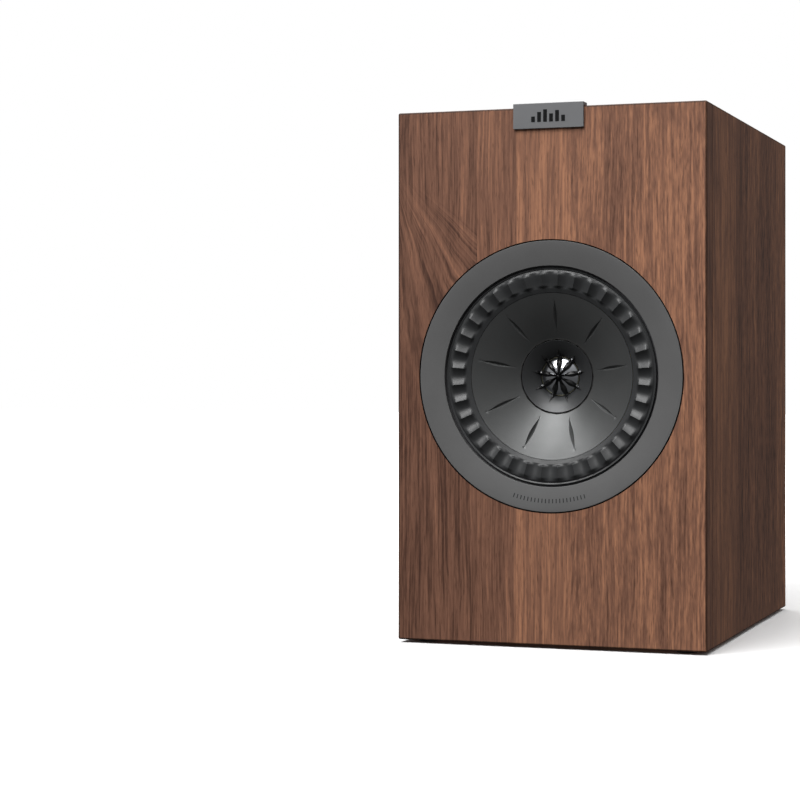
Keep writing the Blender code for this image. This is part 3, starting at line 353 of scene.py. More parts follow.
def build_ridge_group():
    """Rounded ridges at a pitch along one coordinate: windings, threads and wraps."""
    net, given, out = open_group(
        "Ridges",
        [("Place", FLOAT), ("Pitch", FLOAT), ("Base", COLOUR), ("Shade", COLOUR)],
        [("Colour", COLOUR), ("Height", FLOAT)],
    )
    turns = net.maths("DIVIDE", given["Place"], given["Pitch"])
    wave = net.maths("ABSOLUTE", net.maths("SINE", net.maths("MULTIPLY", turns, math.pi)))
    # The valleys between ridges take the Shade colour: painted shade between windings
    net.feed(out["Colour"], net.mix(wave, given["Shade"], given["Base"]))
    net.feed(out["Height"], wave)


def build_turned_group():
    """Fine rings left by a lathe, round an axis along Y."""
    net, given, out = open_group(
        "Turned",
        [("Vector", VECTOR), ("Centre", VECTOR), ("Pitch", FLOAT)],
        [("Height", FLOAT), ("Roughness", FLOAT)],
    )
    shifted = net.node("ShaderNodeVectorMath", operation="SUBTRACT")
    net.feed(shifted.inputs[0], given["Vector"])
    net.feed(shifted.inputs[1], given["Centre"])
    across, _, up = net.parts(shifted.outputs[0])
    squares = net.total(net.maths("POWER", across, 2.0), net.maths("POWER", up, 2.0))
    rings = net.maths("DIVIDE", net.maths("SQRT", squares), given["Pitch"])
    ring = net.noise(net.vector(rings, 0.0, 0.0), 1.0, 2.0)
    net.feed(out["Height"], ring)
    net.feed(out["Roughness"], net.total(net.scaled(ring, 0.18, 0.5), 0.30))


def build_weave_group():
    """Two sets of crossing threads."""
    net, given, out = open_group(
        "Weave",
        [("Vector", VECTOR), ("Pitch", FLOAT), ("Base", COLOUR), ("Shade", COLOUR)],
        [("Colour", COLOUR), ("Height", FLOAT)],
    )
    across, _, up = net.parts(given["Vector"])
    waves = []
    for place in (across, up):
        turns = net.maths("DIVIDE", place, given["Pitch"])
        waves.append(net.maths("ABSOLUTE", net.maths("SINE", net.maths("MULTIPLY", turns, math.pi))))
    cloth = net.maths("MAXIMUM", *waves)
    # The gaps between threads take the Shade colour: painted shade between threads
    net.feed(out["Colour"], net.mix(cloth, given["Shade"], given["Base"]))
    net.feed(out["Height"], cloth)


# Planks of the front and side veneers: how far across each starts, as a share, and its tone
FRONT_PLANKS = ((0.0, 0.40), (0.265, 0.51), (0.394, 0.71), (0.411, 0.65), (0.567, 0.60))
SIDE_PLANKS = ((0.0, 0.54), (0.061, 0.66), (0.321, 0.50), (0.47, 0.54), (0.622, 0.50), (0.86, 0.62))
FAN_TOP = 0.276  # the height where the fan of growth rings on the front starts
FAN_APEX = 0.004  # how far left of the front's edge its rings would meet
FAN_PITCH = 0.045  # scales the slope of its rings to the figure's own metres


def build_veneer_group():
    """Walnut veneer: planks, slow figure, straight streaks, short flecks and pores.

    Grain holds the distance across the grain, the distance along it and the sheet's number.
    """
    net, given, out = open_group(
        "Veneer",
        [
            ("Grain", VECTOR),
            ("Dark", COLOUR),
            ("Middle", COLOUR),
            ("Light", COLOUR),
        ],
        [("Colour", COLOUR), ("Roughness", FLOAT), ("Height", FLOAT)],
    )
    across, along, sheet = net.parts(given["Grain"])
    is_side = net.maths("GREATER_THAN", sheet, 0.5)
    front = net.ramp(net.maths("DIVIDE", across, CABINET_WIDTH), FRONT_PLANKS, "CONSTANT")
    side = net.ramp(net.maths("DIVIDE", across, CABINET_DEPTH), SIDE_PLANKS, "CONSTANT")
    plank = net.mix(is_side, front, side)
    seed = net.total(net.maths("MULTIPLY", sheet, 7.3), net.maths("MULTIPLY", plank, 41.0))

    def drift(per_across, per_along, reach):
        """A slow sideways drift of the figure, up to half of reach each way."""
        at = net.vector(net.scaled(across, per_across), net.scaled(along, per_along), seed)
        return net.scaled(net.noise(at), reach, 0.5)

    wander = drift(22.0, 9.0, 0.006)
    # The side, top and rear sheets show a figure two and a half times as coarse
    coarse = net.maths("MULTIPLY", across, net.maths("SUBTRACT", 1.0, net.scaled(is_side, 0.6)))
    straight = net.total(coarse, wander)

    # In the first plank the growth rings fan out, down and to the right, below the left shoulder
    drop = net.maths("MAXIMUM", net.maths("SUBTRACT", FAN_TOP, along), 0.001)
    ray = net.maths("DIVIDE", net.total(across, FAN_APEX), drop)
    fanned = net.total(net.scaled(ray, FAN_PITCH), wander, drift(70.0, 45.0, 0.004))
    fan = net.maths("LESS_THAN", across, CABINET_WIDTH * FRONT_PLANKS[1][0])
    for outside in (is_side, net.step(ray, 0.90, 1.45), net.step(drop, 0.070, 0.150)):
        fan = net.maths("MULTIPLY", fan, net.maths("SUBTRACT", 1.0, outside))
    fan = net.maths("MULTIPLY", fan, net.step(drop, 0.003, 0.045))

    def streak(width, run, detail=3.0, placed=straight):
        """Noise whose marks are about this wide across and this long along the grain."""
        at = net.vector(net.maths("DIVIDE", placed, width), net.maths("DIVIDE", along, run), seed)
        return net.noise(at, 1.0, detail, 0.55)

    broad = streak(0.016, 0.20)
    band = net.mix(fan, streak(0.0045, 0.16), streak(0.0040, 0.16, 3.0, fanned))
    line = net.mix(fan, streak(0.0012, 0.050), streak(0.0016, 0.050, 3.0, fanned))
    fleck = streak(0.0011, 0.009)
    pore = streak(0.0006, 0.007, 1.0)
    figured = net.maths("MULTIPLY", net.step(across, 0.099, 0.103), 0.45)
    tone = net.total(
        net.scaled(broad, 0.5, 0.5),
        net.scaled(band, 0.45, 0.5),
        net.scaled(line, 1.0, 0.5),
        net.maths("MULTIPLY", net.scaled(fleck, 1.0, 0.5), net.total(figured, 0.35)),
        net.maths("MULTIPLY", net.scaled(band, 0.55, 0.5), fan),
        plank,
    )
    dark_half = net.mix(net.step(tone, 0.05, 0.55), given["Dark"], given["Middle"])
    wood = net.mix(net.step(tone, 0.45, 0.95), dark_half, given["Light"])
    pores = net.step(pore, 0.58, 0.72)
    net.feed(out["Colour"], net.mix(net.maths("MULTIPLY", pores, 0.4), wood, given["Dark"]))
    net.feed(out["Roughness"], net.total(net.scaled(line, 0.20, 0.5), 0.58))
    net.feed(out["Height"], net.maths("SUBTRACT", net.scaled(line, 0.6), pores))


# ---------------------------------------------------------------- materials


def open_material(name, metallic=0.0, coat=0.0, specular=0.5):
    made = bpy.data.materials.new(name)
    made.use_nodes = True
    shader = made.node_tree.nodes["Principled BSDF"]
    shader.inputs["Metallic"].default_value = metallic
    shader.inputs["Coat Weight"].default_value = coat
    shader.inputs["Coat Roughness"].default_value = 0.12
    shader.inputs["Specular IOR Level"].default_value = specular
    looks[name] = made
    return Net(made.node_tree), shader.inputs


def bump(net, shader, height, distance):
    made = net.node("ShaderNodeBump")
    made.inputs["Strength"].default_value = 1.0
    made.inputs["Distance"].default_value = distance
    net.feed(made.inputs["Height"], height)
    net.feed(shader["Normal"], made.outputs[0])


def object_place(net):
    return net.node("ShaderNodeTexCoord").outputs["Object"]


def mottled(net, place, base, shade, patch, grain, roughness, spread):
    """The mottle group, with the scales of its patches and its grain per metre."""
    return net.group(
        groups["Mottle"],
        Vector=place,
        Base=base,
        Shade=shade,
        Patch_Scale=patch,
        Grain_Scale=grain,
        Roughness=roughness,
        Spread=spread,
    )


def paint(net, shader, finish):
    net.feed(shader["Base Color"], finish["Colour"])
    net.feed(shader["Roughness"], finish["Roughness"])


# base and shade colours, roughness, spread, metallic, patch and grain scales per metre, bump
PLAIN_LOOKS = {
    "raw_board": ((164, 134, 98), (132, 104, 74), 0.85, 0.10, 0.0, 90, 1800, 0.00008),
    "dark_edge": ((20, 18, 17), (10, 9, 9), 0.80, 0.10, 0.0, 90, 1800, 0.00005),
    "rubber": ((36, 36, 37), (24, 24, 25), 0.75, 0.12, 0.0, 120, 2600, 0.00003),
    "badge_grey": ((112, 113, 115), (104, 105, 107), 0.55, 0.10, 0.0, 60, 5200, 0.000006),
    "emblem_black": ((18, 19, 21), (10, 11, 12), 0.50, 0.10, 0.0, 80, 3000, 0.000005),
    "ring_grey": ((98, 98, 98), (88, 88, 88), 0.46, 0.08, 0.0, 40, 4200, 0.000008),
    "mark_grey": ((52, 53, 54), (44, 45, 46), 0.50, 0.10, 0.0, 80, 3200, 0.000005),
    "surround_rubber": ((52, 53, 54), (40, 41, 42), 0.42, 0.10, 0.0, 110, 3000, 0.00001),
    "cone_metal": ((88, 89, 89), (78, 79, 79), 0.40, 0.06, 0.55, 50, 5200, 0.000004),
    "waveguide_grey": ((62, 63, 64), (52, 53, 54), 0.36, 0.08, 0.30, 70, 5200, 0.000004),
    "plug_black": ((16, 16, 17), (9, 9, 10), 0.16, 0.06, 0.0, 90, 4200, 0.000004),
    "dome_edge": ((112, 111, 94), (90, 88, 72), 0.34, 0.08, 0.7, 200, 5200, 0.000004),
    "black_plastic": ((34, 34, 35), (22, 22, 23), 0.46, 0.10, 0.0, 90, 2400, 0.00002),
    "port_plastic": ((30, 30, 31), (20, 20, 21), 0.55, 0.10, 0.0, 90, 1500, 0.00004),
    "red_plastic": ((176, 20, 22), (138, 12, 15), 0.28, 0.08, 0.0, 120, 2800, 0.00001),
    "foam": ((40, 40, 41), (22, 22, 23), 0.95, 0.05, 0.0, 400, 1400, 0.0002),
    "cast_frame": ((74, 74, 76), (54, 54, 56), 0.55, 0.14, 0.45, 90, 1500, 0.00006),
    "screw_black": ((42, 42, 44), (26, 26, 28), 0.36, 0.12, 0.85, 300, 4200, 0.00001),
    "brown_former": ((22, 20, 18), (14, 13, 12), 0.50, 0.10, 0.0, 200, 2600, 0.00002),
    "ferrite": ((66, 66, 70), (48, 48, 51), 0.66, 0.12, 0.10, 120, 2200, 0.00005),
    "wadding": ((226, 226, 220), (190, 190, 182), 1.0, 0.0, 0.0, 160, 900, 0.0015),
    "board_green": ((30, 104, 62), (22, 82, 48), 0.45, 0.10, 0.0, 90, 2600, 0.00002),
    "capacitor_film": ((206, 150, 52), (170, 112, 34), 0.34, 0.08, 0.0, 140, 2600, 0.00001),
    "resistor_white": ((226, 222, 208), (202, 196, 180), 0.80, 0.10, 0.0, 200, 1800, 0.00006),
}
DULL = ("emblem_black", "dark_edge", "mark_grey")
COATED = {"plug_black": 0.6, "red_plastic": 0.3, "capacitor_film": 0.5}


def build_plain_looks():
    for name, values in PLAIN_LOOKS.items():
        base, shade, roughness, spread, metallic, patch, grain, relief = values
        specular = 0.15 if name in DULL else 0.5
        net, shader = open_material(name, metallic, COATED.get(name, 0.0), specular)
        colours = opaque(*base), opaque(*shade)
        made = mottled(net, object_place(net), *colours, patch, grain, roughness, spread)
        paint(net, shader, made)
        bump(net, shader, made["Height"], relief)


def build_turned_looks():
    """Metals that come off a lathe."""
    metals = {
        "dome_aluminium": ((214, 216, 220), (196, 199, 205), DRIVER, 0.00008, 0.0000004),
        "steel": ((178, 180, 184), (150, 152, 156), DRIVER, 0.0004, 0.000004),
        "neodymium": ((205, 205, 202), (186, 186, 182), DRIVER, 0.0006, 0.000003),
        "brass": ((222, 184, 106), (186, 144, 72), TERMINAL, 0.0003, 0.000003),
    }
    for name, (base, shade, centre, pitch, relief) in metals.items():
        net, shader = open_material(name, metallic=1.0)
        place = object_place(net)
        colours = opaque(*base), opaque(*shade)
        ground = mottled(net, place, *colours, patch=70.0, grain=2400.0, roughness=0.3, spread=0.1)
        rings = net.group(groups["Turned"], Vector=place, Centre=tuple(centre), Pitch=pitch)
        net.feed(shader["Base Color"], ground["Colour"])
        polish = 0.45 if name == "dome_aluminium" else 1.0
        net.feed(shader["Roughness"], net.maths("MULTIPLY", rings["Roughness"], polish))
        bump(net, shader, rings["Height"], relief)


def build_wound_looks():
    """Enamelled copper, wound along Y in the voice coils and along Z in the inductors."""
    for name, axis, pitch in (("coil_copper", 1, 0.0003), ("inductor_copper", 2, 0.0011)):
        net, shader = open_material(name, metallic=0.85, coat=0.3)
        place = net.parts(object_place(net))[axis]
        base = opaque(190, 104, 62)
        # Painted shade in the grooves between turns of wire
        shade = opaque(92, 44, 26)
        wound = net.group(groups["Ridges"], Place=place, Pitch=pitch, Base=base, Shade=shade)
        net.feed(shader["Base Color"], wound["Colour"])
        shader["Roughness"].default_value = 0.32
        bump(net, shader, wound["Height"], pitch / 4)


def build_cloth_look():
    net, shader = open_material("spider_cloth")
    # The darker colour fills the gaps between threads: painted shade
    woven = net.group(
        groups["Weave"],
        Vector=object_place(net),
        Pitch=0.0009,
        Base=opaque(206, 168, 96),
        Shade=opaque(150, 112, 56),
    )
    net.feed(shader["Base Color"], woven["Colour"])
    shader["Roughness"].default_value = 0.9
    bump(net, shader, woven["Height"], 0.0001)


def build_veneer_looks(sizes):
    # The edge finish is the veneer darkened by the edge share: painted shade along the rounded edges
    for name, shade in (("walnut", 1.0), ("walnut_edge", sizes.edge_shade)):
        net, shader = open_material(name, specular=0.22)
        wood = net.group(
            groups["Veneer"],
            Grain=net.node("ShaderNodeAttribute", attribute_name="grain").outputs["Vector"],
            Dark=(*[shade * level for level in sizes.veneer_dark], 1.0),
            Middle=(*[shade * level for level in sizes.veneer_middle], 1.0),
            Light=(*[shade * level for level in sizes.veneer_light], 1.0),
        )
        paint(net, shader, wood)
        bump(net, shader, wood["Height"], 0.00003)


# ---------------------------------------------------------------- mesh building


def linked(name, data):
    """A new object in the scene."""
    made = bpy.data.objects.new(name, data)
    bpy.context.scene.collection.objects.link(made)
    return made


def add_object(name, mesh, *materials):
    made = linked(name, mesh)
    for look in materials:
        mesh.materials.append(look)
    return made


def plain_mesh(name, shape):
    """A mesh from a bmesh as it stands."""
    mesh = bpy.data.meshes.new(name)
    shape.to_mesh(mesh)
    shape.free()
    return mesh


def mesh_of(name, shape):
    """A mesh from a bmesh, with doubles merged and faces turned outwards."""
    bmesh.ops.remove_doubles(shape, verts=shape.verts, dist=1e-7)
    bmesh.ops.recalc_face_normals(shape, faces=shape.faces)
    return plain_mesh(name, shape)


def add_box(shape, centre, size):
    place = Matrix.Translation(centre) @ Matrix.Diagonal((*size, 1.0))
    bmesh.ops.create_cube(shape, size=1.0, matrix=place)


def add_skin(shape, rows):
    """Faces between closed rows of points, and a cap on the first row."""
    for first, second in zip(rows, rows[1:]):
        for k in range(len(first)):
            shape.faces.new((first[k - 1], first[k], second[k], second[k - 1]))
    shape.faces.new(rows[0])


def flatten(obj):
    """Normals that keep large faces flat and let their rounded edges turn smoothly."""
    smooth(obj.data, 40.0)
    made = obj.modifiers.new("Normals", "WEIGHTED_NORMAL")
    made.keep_sharp = True
    made.weight = 100
    return settled(obj)


def smooth(mesh, degrees=35.0):
    mesh.shade_smooth()
    mesh.set_sharp_from_angle(angle=math.radians(degrees))
    return mesh


def settled(obj):
    """Freeze an object's modifiers into its mesh."""
    graph = bpy.context.evaluated_depsgraph_get()
    mesh = bpy.data.meshes.new_from_object(obj.evaluated_get(graph))
    obj.modifiers.clear()
    old = obj.data
    obj.data = mesh
    mesh.name = obj.name
    bpy.data.meshes.remove(old)
    return obj


def rounded(corners, steps=4):
    """An outline from (a, b, radius) corners: each corner with a radius becomes a soft curve."""
    made = []
    for index, (a, b, radius) in enumerate(corners):
        if radius <= 0.0:
            made.append((a, b))
            continue
        corner = Vector((a, b))
        before = Vector(corners[index - 1][:2]) - corner
        after = Vector(corners[(index + 1) % len(corners)][:2]) - corner
        reach = min(radius, before.length * 0.45, after.length * 0.45)
        start = corner + before.normalized() * reach
        end = corner + after.normalized() * reach
        for step in range(steps + 1):
            share = step / steps
            point = start * (1 - share) ** 2 + corner * 2 * share * (1 - share) + end * share**2
            made.append((point.x, point.y))
    return made


def lathe_mesh(name, profile, segments, degrees=35.0):
    """Turn a closed (radius, depth) profile about the Y axis."""
    shape = bmesh.new()
    rows = []
    for radius, depth in profile:
        if radius < 1e-7:
            rows.append([shape.verts.new((0.0, depth, 0.0))] * segments)
            continue
        row = []
        for step in range(segments):
            turn = 2 * math.pi * step / segments
            row.append(shape.verts.new((radius * math.cos(turn), depth, radius * math.sin(turn))))
        rows.append(row)
    for row, other in zip(rows, rows[1:] + rows[:1]):
        for step in range(segments):
            near = (step + 1) % segments
            ring = dict.fromkeys((row[step], row[near], other[near], other[step]))
            if len(ring) > 2:
                shape.faces.new(list(ring))
    return smooth(mesh_of(name, shape), degrees)


def lathe(name, profile, segments, place, look, degrees=35.0):
    mesh = lathe_mesh(name, profile, segments, degrees)
    mesh.transform(Matrix.Translation(place))
    return add_object(name, mesh, look)


def wedge(name, rows, columns, point):
    """A closed strip of quads over one wedge. point(row, column) gives angle, radius, depth."""
    shape = bmesh.new()
    grid = []
    for row in range(rows):
        line = []
        for column in range(columns + 1):
            turn, radius, depth = point(row, column)
            line.append(shape.verts.new((radius * math.cos(turn), depth, radius * math.sin(turn))))
        grid.append(line)
    for line, other in zip(grid, grid[1:] + grid[:1]):
        for column in range(columns):
            shape.faces.new((line[column], line[column + 1], other[column + 1], other[column]))
    return add_object(name, plain_mesh(name, shape))


def block_mesh(name, low, high, weight, bore=None):
    """A box, or a tube along Y where bore gives its wall, with each edge's bevel weight."""
    shape = bmesh.new()
    layer = shape.edges.layers.float.new("bevel_weight_edge")

    def loop(inset, y):
        x0, x1, z0, z1 = low.x + inset, high.x - inset, low.z + inset, high.z - inset
        return [shape.verts.new((x, y, z)) for x, z in ((x0, z0), (x1, z0), (x1, z1), (x0, z1))]

    outer = [loop(0.0, low.y), loop(0.0, high.y)]
    sides = [(outer[0][k], outer[0][k - 1], outer[1][k - 1], outer[1][k]) for k in range(4)]
    if bore is None:
        faces = sides + [tuple(outer[0]), tuple(reversed(outer[1]))]
    else:
        inner = [loop(bore, low.y), loop(bore, high.y)]
        faces = sides
        faces += [(inner[0][k - 1], inner[0][k], inner[1][k], inner[1][k - 1]) for k in range(4)]
        for end in (0, 1):
            for k in range(4):
                faces.append((outer[end][k - 1], outer[end][k], inner[end][k], inner[end][k - 1]))
    for face in faces:
        shape.faces.new(face)
    for edge in shape.edges:
        edge[layer] = weight((edge.verts[0].co + edge.verts[1].co) / 2)
    return mesh_of(name, shape)


def bevelled(obj, width, segments=4):
    made = obj.modifiers.new("Edges", "BEVEL")
    made.width = width
    made.segments = segments
    made.limit_method = "WEIGHT"
    # The bevels take the piece's last finish, which on the cabinet is the veneer with painted shade on
    # its edges
    made.material = len(obj.data.materials) - 1
    return obj


def carve(obj, *cutters):
    """Cut shapes out of a piece. The walls take the cutter's finish."""
    for cutter in cutters:
        made = obj.modifiers.new(cutter.name, "BOOLEAN")
        made.object = cutter
        made.operation = "DIFFERENCE"
        made.solver = "EXACT"
        made.material_mode = "TRANSFER"
    settled(obj)
    for cutter in cutters:
        bpy.data.objects.remove(cutter)
    return obj


# Sheets of veneer, by the side they cover
FRONT_SHEET, LEFT_SHEET, RIGHT_SHEET, TOP_SHEET, BOTTOM_SHEET, REAR_SHEET = range(6)


def lay_grain(obj):
    """Store, at each face corner, the place across the grain, along it, and the sheet's number."""
    mesh = obj.data
    values = []
    for face in mesh.polygons:
        normal = face.normal
        for index in face.vertices:
            x, y, z = mesh.vertices[index].co
            if abs(normal.z) > max(abs(normal.x), abs(normal.y)):
                values += (y - FRONT_Y, x, TOP_SHEET if normal.z > 0 else BOTTOM_SHEET)
            elif abs(normal.x) > abs(normal.y):
                values += (y - FRONT_Y, z, RIGHT_SHEET if normal.x > 0 else LEFT_SHEET)
            else:
                values += (x - BAFFLE_LOW.x, z, FRONT_SHEET if normal.y < 0 else REAR_SHEET)
    grain = mesh.attributes.new("grain", "FLOAT_VECTOR", "CORNER")
    grain.data.foreach_set("vector", values)


# ---------------------------------------------------------------- geometry node trees


def open_tree(name, inputs):
    tree = bpy.data.node_groups.new(name, "GeometryNodeTree")
    tree.interface.new_socket("Geometry", in_out="INPUT", socket_type="NodeSocketGeometry")
    for label, kind in inputs:
        tree.interface.new_socket(label, in_out="INPUT", socket_type=kind)
    tree.interface.new_socket("Material", in_out="INPUT", socket_type="NodeSocketMaterial")
    tree.interface.new_socket("Geometry", in_out="OUTPUT", socket_type="NodeSocketGeometry")
    net = Net(tree)
    return net, net.node("NodeGroupInput").outputs, net.node("NodeGroupOutput").inputs


def close_tree(net, given, out, copies, merge):
    """Make the copies real, weld their shared edges and give them their finish."""
    real = net.node("GeometryNodeRealizeInstances")
    net.feed(real.inputs["Geometry"], copies)
    welded = net.node("GeometryNodeMergeByDistance")
    net.feed(welded.inputs["Geometry"], real.outputs[0])
    net.feed(welded.inputs["Distance"], merge)
    painted = net.node("GeometryNodeSetMaterial")
    net.feed(painted.inputs["Geometry"], welded.outputs[0])
    net.feed(painted.inputs["Material"], given["Material"])
    net.feed(out["Geometry"], painted.outputs[0])


def build_ring_tree():
    """Copies of a wedge turned about the Y axis, counter-clockwise seen from the front."""
    net, given, out = open_tree(
        "Ring of Copies",
        [
            ("Count", "NodeSocketInt"),
            ("First Angle", FLOAT),
            ("Step Angle", FLOAT),
            ("Weld Distance", FLOAT),
        ],
    )
    line = net.node("GeometryNodeMeshLine")
    net.feed(line.inputs["Count"], given["Count"])
    line.inputs["Offset"].default_value = (0.0, 0.0, 0.0)
    index = net.node("GeometryNodeInputIndex").outputs[0]
    turn = net.total(net.maths("MULTIPLY", index, given["Step Angle"]), given["First Angle"])
    spin = net.node("FunctionNodeAxisAngleToRotation")
    spin.inputs["Axis"].default_value = (0.0, -1.0, 0.0)
    net.feed(spin.inputs["Angle"], turn)
    copies = net.node("GeometryNodeInstanceOnPoints")
    net.feed(copies.inputs["Points"], line.outputs[0])
    net.feed(copies.inputs["Instance"], given["Geometry"])
    net.feed(copies.inputs["Rotation"], spin.outputs[0])
    close_tree(net, given, out, copies.outputs[0], given["Weld Distance"])
    return net.tree


def build_corner_tree():
    """A copy at each corner of a rectangle in the ground plane, tilted upright by Tilt."""
    net, given, out = open_tree(
        "Corner Copies",
        [("Across", FLOAT), ("Along", FLOAT), ("Tilt", FLOAT)],
    )
    grid = net.node("GeometryNodeMeshGrid")
    net.feed(grid.inputs["Size X"], given["Across"])
    net.feed(grid.inputs["Size Y"], given["Along"])
    grid.inputs["Vertices X"].default_value = 2
    grid.inputs["Vertices Y"].default_value = 2
    spin = net.node("FunctionNodeAxisAngleToRotation")
    spin.inputs["Axis"].default_value = (1.0, 0.0, 0.0)
    net.feed(spin.inputs["Angle"], given["Tilt"])
    tilted = net.node("GeometryNodeTransform")
    net.feed(tilted.inputs["Geometry"], grid.outputs[0])
    net.feed(tilted.inputs["Rotation"], spin.outputs[0])
    copies = net.node("GeometryNodeInstanceOnPoints")
    net.feed(copies.inputs["Points"], tilted.outputs[0])
    net.feed(copies.inputs["Instance"], given["Geometry"])
    close_tree(net, given, out, copies.outputs[0], 1e-7)
    return net.tree


trees = {}


def grown(name, source, tree, place, look, degrees=35.0, **values):
    """Run a tree on a source object and keep the result as one plain piece at its place."""
    modifier = source.modifiers.new(tree.name, "NODES")
    modifier.node_group = tree
    values["Material"] = look
    for item in tree.interface.items_tree:
        if item.item_type == "SOCKET" and item.in_out == "INPUT" and item.name != "Geometry":
            modifier[item.identifier] = values[item.name.replace(" ", "_")]
    graph = bpy.context.evaluated_depsgraph_get()
    raw = bpy.data.meshes.new_from_object(source.evaluated_get(graph))
    bpy.data.objects.remove(source)
    shape = bmesh.new()
    shape.from_mesh(raw)
    mesh = smooth(mesh_of(name, shape), degrees)
    bpy.data.meshes.remove(raw)
    mesh.transform(Matrix.Translation(place))
    return add_object(name, mesh, look)


def join(name, *objects):
    """One piece from several shells."""
    shape = bmesh.new()
    materials = []
    for obj in objects:
        for look in obj.data.materials:
            if look not in materials:
                materials.append(look)
        first = len(shape.faces)
        shape.from_mesh(obj.data)
        shape.faces.ensure_lookup_table()
        index = materials.index(obj.data.materials[0])
        for face in shape.faces[first:]:
            face.material_index = index
    mesh = plain_mesh(name, shape)
    for obj in objects:
        bpy.data.objects.remove(obj)
    return add_object(name, smooth(mesh), *materials)


def place_piece(piece, body, slot, *nodes):
    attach(piece, body)
    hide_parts(*nodes)
    return piece


def flex_piece(piece, outer, inner, node):
    """A round diaphragm: its place is baked into its mesh and the solid it stands for is hidden.

    The outer and inner radii are not used.
    """
    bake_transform(piece)
    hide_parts(node)


# ---------------------------------------------------------------- cabinet pieces


def drill(name, radius, start, end, places, look, segments=32):
    """Cylinders along Y as one cutter, from start to end in world depth."""
    shape = bmesh.new()
    for x, z in places:
        bmesh.ops.create_cone(
            shape,
            cap_ends=True,
            segments=segments,
            radius1=radius,
            radius2=radius,
            depth=end - start,
            matrix=Matrix.Translation((x, (start + end) / 2, z)) @ Matrix.Rotation(math.pi / 2, 4, "X"),
        )
    return add_object(name, mesh_of(name, shape), look)


def build_baffle(sizes, driver):
    seam = sizes.seam_round / sizes.edge_round
    back = BAFFLE_HIGH.y

    def weight(middle):
        return seam if abs(middle.y - back) < MM else 1.0

    mesh = block_mesh("front_baffle_veneered", BAFFLE_LOW, BAFFLE_HIGH, weight)
    baffle = add_object("front_baffle_veneered", mesh, looks["walnut"], looks["walnut_edge"])
    settled(bevelled(baffle, sizes.edge_round))
    seat = depths_of("driver_gasket")[1] + 0.3 * MM
    recess = RING_RADIUS + 0.75 * MM
    hole = driver.ring_bore + 0.1 * MM
    profile = [
        (0.0, -10 * MM),
        (recess, -10 * MM),
        (recess, seat),
        (hole, seat),
        (hole, 30 * MM),
        (0.0, 30 * MM),
    ]
    cutter = lathe("driver_cutout", profile, 256, DRIVER, looks["dark_edge"])
    carve(baffle, cutter)
    flatten(baffle)
    lay_grain(baffle)
    place_piece(baffle, "cabinet", "walnut", "front_baffle")


def build_carcass(sizes):
    low = Vector((BAFFLE_LOW.x, LEFT_LOW.y, BAFFLE_LOW.z))
    high = Vector((BAFFLE_HIGH.x, BACK_Y, BAFFLE_HIGH.z))
    wall = LEFT_HIGH.x - LEFT_LOW.x
    seam = sizes.seam_round / sizes.edge_round
    centre = (low + high) / 2

    def weight(middle):
        at_end = abs(middle.y - centre.y) > MM
        if at_end and abs(middle.x - centre.x) > MM and abs(middle.z - centre.z) > MM:
            return 0.12
        inside = abs(middle.x) < high.x - wall + MM and low.z + wall - MM < middle.z < high.z - wall + MM
        if inside:
            return 0.2 if middle.y > BACK_Y - MM else 0.0
        return seam if abs(middle.y - low.y) < MM else 1.0

    mesh = block_mesh("carcass_veneered", low, high, weight, bore=wall)
    carcass = add_object("carcass_veneered", mesh, looks["walnut"], looks["walnut_edge"])
    settled(bevelled(carcass, sizes.edge_round))
    flatten(carcass)
    lay_grain(carcass)
    nodes = ("left_side_panel", "right_side_panel", "top_panel", "bottom_panel")
    place_piece(carcass, "cabinet", "walnut", *nodes)


def build_rear_panel(sizes):
    def weight(middle):
        return 0.5 if middle.y > BACK_Y - MM else 0.0

    mesh = block_mesh("rear_panel_veneered", REAR_LOW, REAR_HIGH, weight)
    rear = add_object("rear_panel_veneered", mesh, looks["walnut"], looks["walnut_edge"])
    settled(bevelled(rear, sizes.edge_round, 3))
    board = looks["raw_board"]
    start, end = REAR_LOW.y - 10 * MM, BACK_Y + 10 * MM
    port_hole = PORT_SPIGOT + 0.3 * MM
    port = drill("port_cutout", port_hole, start, end, [(PORT.x, PORT.z)], board, 96)
    half_pocket = Vector((23 * MM, 0.0, 12 * MM))
    pocket_low = Vector((0.0, start, TERMINAL.z)) - half_pocket
    pocket_high = Vector((0.0, end, TERMINAL.z)) + half_pocket
    pocket_mesh = block_mesh("terminal_cutout", pocket_low, pocket_high, lambda middle: 0.0)
    pocket = add_object("terminal_cutout", pocket_mesh, board)
    screw_start = BACK_Y - 12 * MM
    screw_bores = drill("screw_cutouts", SCREW_BORE, screw_start, end, SCREW_PLACES, board, 24)
    carve(rear, port, pocket, screw_bores)
    flatten(rear)
    lay_grain(rear)
    place_piece(rear, "cabinet", "walnut", "rear_panel")


def build_feet():
    low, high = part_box("foot_front_left")
    radius = (high.x - low.x) / 2
    corners = [
        (0.0, 0.0, 0.0),
        (radius, 0.0, 0.35 * MM),
        (radius * 0.97, high.z, 0.35 * MM),
        (0.0, high.z, 0.0),
    ]
    profile = [(out, -height) for out, height in rounded(corners)]
    mesh = lathe_mesh("rubber_foot", profile, 48)
    mesh.transform(Matrix.Rotation(-math.pi / 2, 4, "X"))
    foot = add_object("rubber_foot", mesh)
    front, rear = centre_of("foot_front_left"), centre_of("foot_rear_right")
    middle = (front + rear) / 2
    feet = grown(
        "rubber_feet",
        foot,
        trees["corner"],
        (middle.x, middle.y, 0.0),
        looks["rubber"],
        Across=rear.x - front.x,
        Along=rear.y - front.y,
        Tilt=0.0,
    )
    nodes = ("foot_front_left", "foot_front_right", "foot_rear_left", "foot_rear_right")
    place_piece(feet, "cabinet", "rubber", *nodes)


